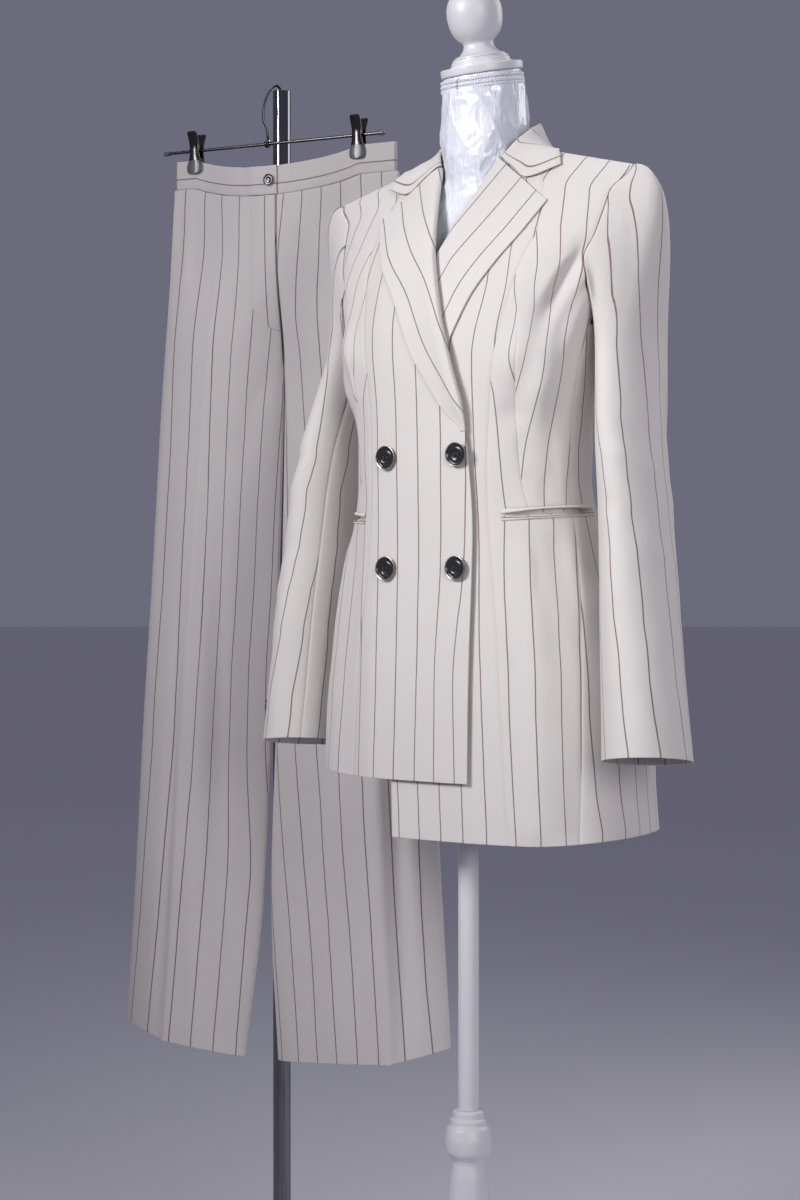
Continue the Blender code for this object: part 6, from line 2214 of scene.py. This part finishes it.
@dataclass
class Hanger:
    """The rod, its end caps, the hook wire and the two pinch clips."""

    trousers: Trousers
    rod_height: float = 1.5085
    rod_radius: float = 0.0019
    ends: tuple[float, float] = (-0.160, 0.126)
    post_u: float = -0.0380
    post_w: float = -0.062
    wire: float = 0.0015
    pad_out: float = 0.0048
    pad_half_thick: float = 0.0019

    def jaw(self, u: float, front: bool) -> Shape:
        """One jaw of a clip: a pressed channel of sheet that leans from its pad to its thumb tab.

        Args:
            u: Where the clip sits along the rod.
            front: Whether it is the front jaw.

        Returns:
            Its shape.
        """
        way = 1 if front else -1
        rows = (
            (-0.012, 0.0056, 0.0078), (-0.009, 0.0056, 0.007), (-0.004, 0.0058, 0.0064),
            (0.006, 0.0062, 0.0063), (0.013, 0.0086, 0.0064), (0.019, 0.011, 0.0066), (0.0212, 0.0117, 0.006),
            (0.022, 0.0119, 0.0046),
        )
        rings = []
        for height, w, half in refined(np.array(rows), 30):
            profile = ((-1.0, 0.0016), (-1.0, 0.0), (-0.86, -0.0009), (0.86, -0.0009), (1.0, 0.0), (1.0, 0.0016))
            inner = ((0.84, 0.0016), (0.80, 0.0003), (-0.80, 0.0003), (-0.84, 0.0016))
            across, inwards = np.array((*profile, *inner)).T
            out = way * (w - inwards + 0.0003)
            rings.append(self.trousers.place(u + half * across, out, self.rod_height + height))
        return ring_shape(rings)

    def pad(self, u: float, front: bool) -> Shape:
        """A clip's soft pad, a rounded bell shape."""
        way = 1 if front else -1
        rows = (
            (-0.0284, 0.003), (-0.0281, 0.0068), (-0.027, 0.009), (-0.0248, 0.0101), (-0.0215, 0.0104),
            (-0.018, 0.0101), (-0.015, 0.0092), (-0.0122, 0.0079), (-0.0098, 0.0068), (-0.0088, 0.006),
        )
        rings = []
        turns = np.linspace(0, 2 * math.pi, 24, endpoint=False)
        for height, half in refined(np.array(rows), 26):
            out = way * (self.pad_out + self.pad_half_thick * np.sin(turns))
            rings.append(self.trousers.place(u + half * np.cos(turns), out, self.rod_height + height))
        return ring_shape(rings)

    def coil(self, u: float, pitch: float, turns: int, radius: float, count: int) -> Array:
        """The middle line of wire wound round the rod.

        Args:
            u: Where it starts along the rod.
            pitch: How far one turn takes it.
            turns: The number of turns.
            radius: Its radius.
            count: The number of points.

        Returns:
            Points along it.
        """
        t = np.linspace(0, 2 * math.pi * turns, count)
        high = self.rod_height + radius * np.cos(t)
        return self.trousers.place(u + pitch * t / (2 * math.pi), radius * np.sin(t), high)

    def build(self, shop: Workshop) -> None:
        """Makes the hanger."""
        place = self.trousers.place
        rod = place(np.linspace(*self.ends, 12), 0.0, self.rod_height)
        along = unit(rod[-1] - rod[0])
        shop.piece("rod", tube_shape(rod, self.rod_radius, 32), (Finish.STEEL,), "dark_steel", ["hanger_rod"])
        cap = (
            (0.0020, 0.0004), (0.0029, 0.0008), (0.0030, 0.0012), (0.0030, 0.0064), (0.0026, 0.0076),
            (0.0012, 0.008),
        )
        for word, end, way in (("right", rod[0], -1), ("left", rod[-1], 1)):
            shape = turned_shape(rounded_profile(cap, 0.0004), end, along * way, 32)
            shop.piece(f"end_cap_{word}", shape, (Finish.PAD,), "chrome", [f"rod_end_{word}"])
        height, u, beside = self.rod_height, self.post_u, self.post_w
        bends = (
            (0.015, -0.0041, 0.0), (0.0125, -0.005, 0.008), (0.008, -0.011, 0.02), (-0.002, -0.02, 0.034),
            (-0.0072, -0.03, 0.051), (-0.008, -0.04, 0.068), (-0.0062, -0.049, 0.0795), (-0.0025, -0.0555, 0.0825),
            (0.0, beside - 0.001, 0.076), (0.0, beside - 0.003, 0.062), (0.0, beside - 0.004, 0.045),
        )
        path = smooth_path(np.array([place(u + aside, w, height + up) for aside, w, up in bends]), 0.002)
        coil = tube_shape(self.coil(u + 0.0126, 0.0016, 3, 0.0036, 90), 0.0010, 10)
        hook = joined([tube_shape(path, self.wire, 16), coil])
        shop.piece("hook", hook, (Finish.STEEL,), "dark_steel", ["hanger_hook"])
        for word, at in zip(("right", "left"), self.trousers.clips):
            for part, front in (("front", True), ("back", False)):
                parts = [self.jaw(at, front), self.pad(at, front)]
                shape = joined(parts)
                shape.slots = np.repeat([0, 1], [len(part.faces) for part in parts])
                node = f"clip_{part}_{word}"
                shop.piece(f"jaw_{part}_{word}", shape, (Finish.STEEL, Finish.PAD), "dark_steel", [node], 50.0)
            spring = tube_shape(self.coil(at - 2.5 * 0.0011, 0.0011, 5, 0.0031, 130), 0.0005, 8)
            shop.piece(f"spring_{word}", spring, (Finish.STEEL,), "dark_steel")


@dataclass
class Post:
    """The chrome post that the hanger hooks over, on a round foot."""

    hanger: Hanger
    radius: float = 0.0110
    wall: float = 0.0015
    top: float = 1.585
    bottom: float = 0.0185
    bore: float = 0.0035
    depth: float = 0.120
    foot_radius: float = 0.150

    def build(self, shop: Workshop) -> None:
        """Makes the post and its foot."""
        base = self.hanger.trousers.place(self.hanger.post_u, self.hanger.post_w, 0.0)
        inside, floor = self.radius - self.wall, self.top - self.depth
        tube = (
            (self.bore, self.bottom), (self.radius, self.bottom), (self.radius, self.top),
            (inside, self.top), (inside, floor), (self.bore, floor),
        )
        up = np.array([0.0, 0.0, 1.0])
        shape = turned_shape(rounded_profile(tube, 0.0004), base, up, 64)
        shop.piece("post", shape, (Finish.CHROME,), "chrome", ["post_tube"])
        foot = (
            (self.foot_radius - 0.004, 0.0), (self.foot_radius, 0.003), (self.foot_radius, 0.010),
            (self.foot_radius - 0.006, 0.0135), (0.024, 0.0165), (0.02, 0.0182),
        )
        shape = turned_shape(rounded_profile(foot, 0.0020), base, up, 128)
        shop.piece("foot", shape, (Finish.FOOT,), "black_foot", ["post_foot"])


# Dress form


FORM_SECTIONS = Table(
    "height half_width front back peak",
    (
        (0.8, 0.13, 0.064, 0.103, 0.86), (0.806, 0.15, 0.08, 0.126, 0.86), (0.83, 0.16, 0.085, 0.134, 0.86),
        (0.9, 0.156, 0.085, 0.124, 0.86), (0.97, 0.143, 0.083, 0.1, 0.86), (1.035, 0.126, 0.081, 0.066, 0.86),
        (1.085, 0.118, 0.08, 0.046, 0.86), (1.15, 0.123, 0.08, 0.053, 0.86), (1.2, 0.133, 0.08, 0.069, 0.86),
        (1.25, 0.142, 0.072, 0.077, 0.86), (1.3, 0.144, 0.06, 0.077, 0.9), (1.34, 0.14, 0.045, 0.073, 0.95),
        (1.366, 0.126, 0.035, 0.066, 1.1), (1.384, 0.086, 0.03, 0.06, 1.5), (1.4, 0.046, 0.031, 0.056, 1.3),
        (1.415, 0.0395, 0.034, 0.054, 1.05), (1.435, 0.0405, 0.036, 0.055, 1.0),
        (1.465, 0.0415, 0.037, 0.056, 1.0), (1.49, 0.041, 0.037, 0.051, 1.0),
        (1.509, 0.0405, 0.037, 0.044, 1.0),
    ),
)
COLUMN_PROFILE = (
    (0.03, 0.145), (0.0345, 0.15), (0.035, 0.225), (0.03, 0.232), (0.0205, 0.248), (0.018, 0.27),
    (0.0205, 0.311), (0.0222, 0.343), (0.0195, 0.367), (0.0165, 0.381), (0.0172, 0.385), (0.0235, 0.393),
    (0.025, 0.406), (0.0225, 0.418), (0.019, 0.4215), (0.0192, 0.4265), (0.016, 0.428), (0.0162, 0.434),
    (0.0145, 0.436),
)
CAP_PROFILE = (
    (0.04, 0.0), (0.0425, 0.0004), (0.043, 0.002), (0.043, 0.0075), (0.0424, 0.0086), (0.032, 0.009),
    (0.0318, 0.0112), (0.0306, 0.0118), (0.0306, 0.014), (0.0296, 0.0146), (0.029, 0.0168),
)
FINIAL_PROFILE = (
    (0.027, 0.0), (0.0262, 0.0018), (0.0215, 0.0038), (0.0172, 0.0085), (0.0156, 0.013), (0.0166, 0.0158),
    (0.02, 0.019), (0.0245, 0.0245), (0.0276, 0.0325), (0.029, 0.043), (0.0284, 0.051), (0.0262, 0.058),
    (0.0222, 0.0645), (0.0165, 0.0695), (0.0095, 0.0725), (0.003, 0.0733),
)
LEG_PATH = Table(
    "step reach height radius",
    (
        (0, 0.0365, 0.2, 0.013), (1, 0.062, 0.208, 0.015), (2, 0.098, 0.19, 0.016), (3, 0.135, 0.142, 0.0145),
        (4, 0.17, 0.085, 0.0125), (5, 0.202, 0.042, 0.0125), (6, 0.226, 0.019, 0.015),
    ),
)


@dataclass
class DressForm:
    """The limbless form under the jacket: torso, neck cap, finial, pole, turned column and three legs."""

    neck_y: float = 0.003
    cap_height: float = 1.509
    cap_lean: float = 12.5
    gap: float = 0.0004
    pole_radius: float = 0.0108
    braid_drop: float = 0.0062
    braid_apart: float = 0.0052
    braid_turn: float = 97.0
    braid_low: float = 1.425
    leg_count: int = 3

    def torso_points(self, turn: Array, height: Array, out: Array | float = 0.0) -> Array:
        """Points of the torso. The turn runs from the front, in degrees."""
        sine, cosine = np.sin(np.radians(turn)), np.cos(np.radians(turn))
        row = FORM_SECTIONS.row(height)
        x = row["half_width"] * np.sign(sine) * np.abs(sine) ** row["peak"]
        y = -np.where(cosine > 0, row["front"], row["back"]) * np.sign(cosine) * np.abs(cosine) ** row["peak"]
        x, y = x + out * sine, y - out * cosine
        lean = math.tan(math.radians(self.cap_lean)) * smooth_step(1.440, self.cap_height, height)
        return np.stack(np.broadcast_arrays(x, y, height + (y - self.neck_y) * lean), axis=-1)

    def torso(self) -> Shape:
        """The torso, with the film's crinkles on the neck."""
        turns = np.linspace(0, 360, 240, endpoint=False)
        heights = np.concatenate([np.linspace(0.800, 1.34, 90), np.linspace(1.343, self.cap_height, 84)])
        turn, height = np.meshgrid(turns, heights)
        flat = self.torso_points(turn, height)
        chance = np.random.default_rng(5)
        crinkle = np.zeros(turn.shape)
        for size, tall in ((0.060, 0.0014), (0.034, 0.0010), (0.019, 0.0005)):
            for _ in range(3):
                way, phase = unit(chance.normal(size=3) * [1.0, 1.0, 0.7]), chance.uniform(0, 6.28)
                bend = 1.3 * np.sin(flat[..., 2] / size * 0.9)
                wave = np.abs(np.sin(math.pi * (flat @ way) / size + phase + bend))
                crinkle += tall * (1 - wave) ** 2.2
        crinkle *= smooth_step(1.35, 1.42, height) * (1 - smooth_step(1.492, 1.502, height))
        grid = self.torso_points(turn, height, crinkle)
        return ring_shape(list(grid))

    def leg(self, number: int, middle: Array) -> Shape:
        """One curved leg that ends in a flat foot on the floor."""
        turn = math.radians(90 + 360 * number / self.leg_count)
        out = np.array([math.cos(turn), math.sin(turn), 0.0])
        across = np.cross(out, [0.0, 0.0, 1.0])
        path = [middle + out * row[1] + [0, 0, row[2]] for row in LEG_PATH.values]
        fine = refined(np.array(path), 60)
        steps = np.linspace(0, len(path) - 1, 60)
        radius = LEG_PATH.read("radius", steps)
        tangents = unit(np.gradient(fine, axis=0))
        tangents[0] = out
        turns = np.linspace(0, 2 * math.pi, 40, endpoint=False)
        rings = []
        for centre, along, size in zip(fine, tangents, radius):
            ahead = np.cross(along, across)
            rings.append(centre + size * (np.outer(np.cos(turns), across) + np.outer(np.sin(turns), ahead)))
        foot = path[-1] + out * 0.010
        for height, size in ((0.0075, 0.0158), (0.0060, 0.0160), (0.0012, 0.0160), (0.0, 0.0150)):
            centre = np.array([foot[0], foot[1], height])
            rings.append(centre + size * (np.outer(np.cos(turns), across) - np.outer(np.sin(turns), out)))
        return ring_shape(rings)

    def braid(self, shop: Workshop) -> bpy.types.Object:
        """Gimp braid round the neck's top and down both of its sides."""
        paths = []
        turns = np.linspace(0, 360, 181)
        heights = np.full(turns.shape, self.cap_height - self.braid_drop)
        down = np.linspace(self.cap_height - 0.016, self.braid_low, 60)
        for turn, height in (
            (turns, heights),
            (turns, heights - self.braid_apart),
            (np.full(60, self.braid_turn), down),
            (np.full(60, -self.braid_turn), down),
        ):
            path = self.torso_points(turn, height, 0.0010)
            paths.append((path, unit(self.torso_points(turn, height, 0.0110) - path)))
        trim = PathTrim(PathTool.BRAID, 0.0026, 0.0060, 0.00120, math.radians(38))
        return shop.keep(trim.along(shop, "gimp_braid", paths, Finish.BRAID), "white_satin")

    def build(self, shop: Workshop) -> None:
        """Makes the dress form."""
        shop.piece("torso", self.torso(), (Finish.SATIN,), "white_satin", ["form_torso"], 60.0)
        self.braid(shop)
        lean = math.radians(self.cap_lean)
        axis = np.array([0.0, -math.sin(lean), math.cos(lean)])
        base = np.array([0.0, self.neck_y, self.cap_height]) + axis * self.gap
        cap = turned_shape(rounded_profile(CAP_PROFILE, 0.0006), base, axis, 128)
        shop.piece("cap", cap, (Finish.LACQUER,), "white_lacquer", ["neck_cap"], 50.0)
        top = base + axis * (CAP_PROFILE[-1][1] + self.gap)
        ball = turned_shape([tuple(row) for row in refined(np.array(FINIAL_PROFILE), 90)], top, axis, 96)
        shop.piece("ball_finial", ball, (Finish.LACQUER,), "white_lacquer", ["finial"], 60.0)
        middle, up = np.array([0.0, POLE_BEHIND_AXIS, 0.0]), np.array([0.0, 0.0, 1.0])
        pole = ((self.pole_radius, 0.4364), (self.pole_radius, 0.7996))
        shop.piece("pole", turned_shape(pole, middle, up, 64), (Finish.LACQUER,), "white_lacquer", ["form_pole"])
        column = turned_shape(rounded_profile(COLUMN_PROFILE, 0.0030, 5), middle, up, 96)
        shop.piece("column", column, (Finish.LACQUER,), "white_lacquer", ["form_column"], 50.0)
        for number in range(self.leg_count):
            leg = self.leg(number, middle)
            node = f"form_leg_{number + 1}"
            shop.piece(f"leg_{number + 1}", leg, (Finish.LACQUER,), "white_lacquer", [node], 60.0)


# Studio


@dataclass
class Studio:
    """A plain pale floor, soft lights and the camera."""

    shift: Array
    eye: tuple[float, float, float] = (1.443, -1.850, 0.973)
    heading: float = 40.0
    dip: float = 0.25
    lens: float = 67.65
    sensor: float = 36.0
    floor_half: float = 60.0
    floor: tuple[float, float, float] = (0.78, 0.77, 0.80)
    sky: tuple[float, float, float] = (0.150, 0.146, 0.200)
    # (name, place about the torso's axis, what it faces, size, watts, spread in degrees)
    lights: tuple[tuple[str, tuple[float, float, float], tuple[float, float, float], float, float, float], ...] = (
        ("key", (-0.62, -2.12, 2.08), (0.30, 0.0, 1.12), 0.8, 6.2, 55.0),
        ("fill", (2.5, -1.3, 1.6), (0.30, 0.0, 1.05), 1.2, 4.6, 60.0),
        ("top", (-0.3, 0.2, 3.2), (0.0, 0.0, 1.2), 1.2, 12.0, 180.0),
        ("rim", (0.6, 2.0, 2.2), (0.0, 0.0, 1.2), 1.2, 12.0, 180.0),
    )

    def build(self) -> None:
        """Makes the floor, the lights, the surroundings and the camera."""
        scene = bpy.context.scene
        mesh = bpy.data.meshes.new("floor")
        half = self.floor_half
        corners = [(-half, -half, 0), (half, -half, 0), (half, half, 0), (-half, half, 0)]
        mesh.from_pydata(corners, [], [(0, 1, 2, 3)])
        mesh.materials.append(Graph("floor_paint", Base_Color=self.floor, Roughness=0.85).material)
        floor = bpy.data.objects.new("floor", mesh)
        scene.collection.objects.link(floor)
        floor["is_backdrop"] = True
        world = bpy.data.worlds.new("studio")
        world.use_nodes = True
        world.node_tree.nodes["Background"].inputs[0].default_value = (*self.sky, 1.0)
        world.node_tree.nodes["Background"].inputs[1].default_value = 1.0
        scene.world = world
        scene.view_settings.view_transform = "Standard"
        scene.view_settings.exposure = 0.0
        for name, place, target, size, power, spread in self.lights:
            lamp = bpy.data.lights.new(name, "AREA")
            lamp.energy, lamp.size, lamp.spread = power, size, math.radians(spread)
            made = bpy.data.objects.new(name, lamp)
            made.location = Vector(place) + Vector(self.shift)
            way = Vector(target) - Vector(place)
            made.rotation_euler = way.to_track_quat("-Z", "Y").to_euler()
            scene.collection.objects.link(made)
        lens = bpy.data.cameras.new("camera")
        lens.lens, lens.sensor_width = self.lens, self.sensor
        lens.clip_start, lens.clip_end = 0.05, 60.0
        camera = bpy.data.objects.new("camera", lens)
        camera.location = Vector(self.eye) + Vector(self.shift)
        camera.rotation_euler = (math.radians(90 - self.dip), 0.0, math.radians(self.heading))
        scene.collection.objects.link(camera)
        scene.camera = camera


def main() -> None:
    """Builds every piece in order and measures the bounds of the solids and of the dressed set."""
    logging.basicConfig(level=logging.INFO, format="%(name)s %(message)s")
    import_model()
    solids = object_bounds()
    shop = Workshop(Finishes())
    Studio(shop.shift).build()
    form = JacketForm()
    panels = BodyPanels(form)
    sleeves = Sleeves(form)
    trousers = Trousers()
    hanger = Hanger(trousers)
    for part in (
        panels,
        Lapels(form),
        Collar(form),
        sleeves,
        Pockets(panels),
        Fastenings(form, sleeves),
        trousers,
        hanger,
        Post(hanger),
        DressForm(),
    ):
        part.build(shop)
        LOG.info("%s done", type(part).__name__)
    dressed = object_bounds()
    boxes = {"solids": solids, "dressed": dressed}
    boxes = {name: [list(map(float, corner)) for corner in box] for name, box in boxes.items()}
    LOG.info("%d pieces", shop.count)


if __name__ == "__main__":
    main()
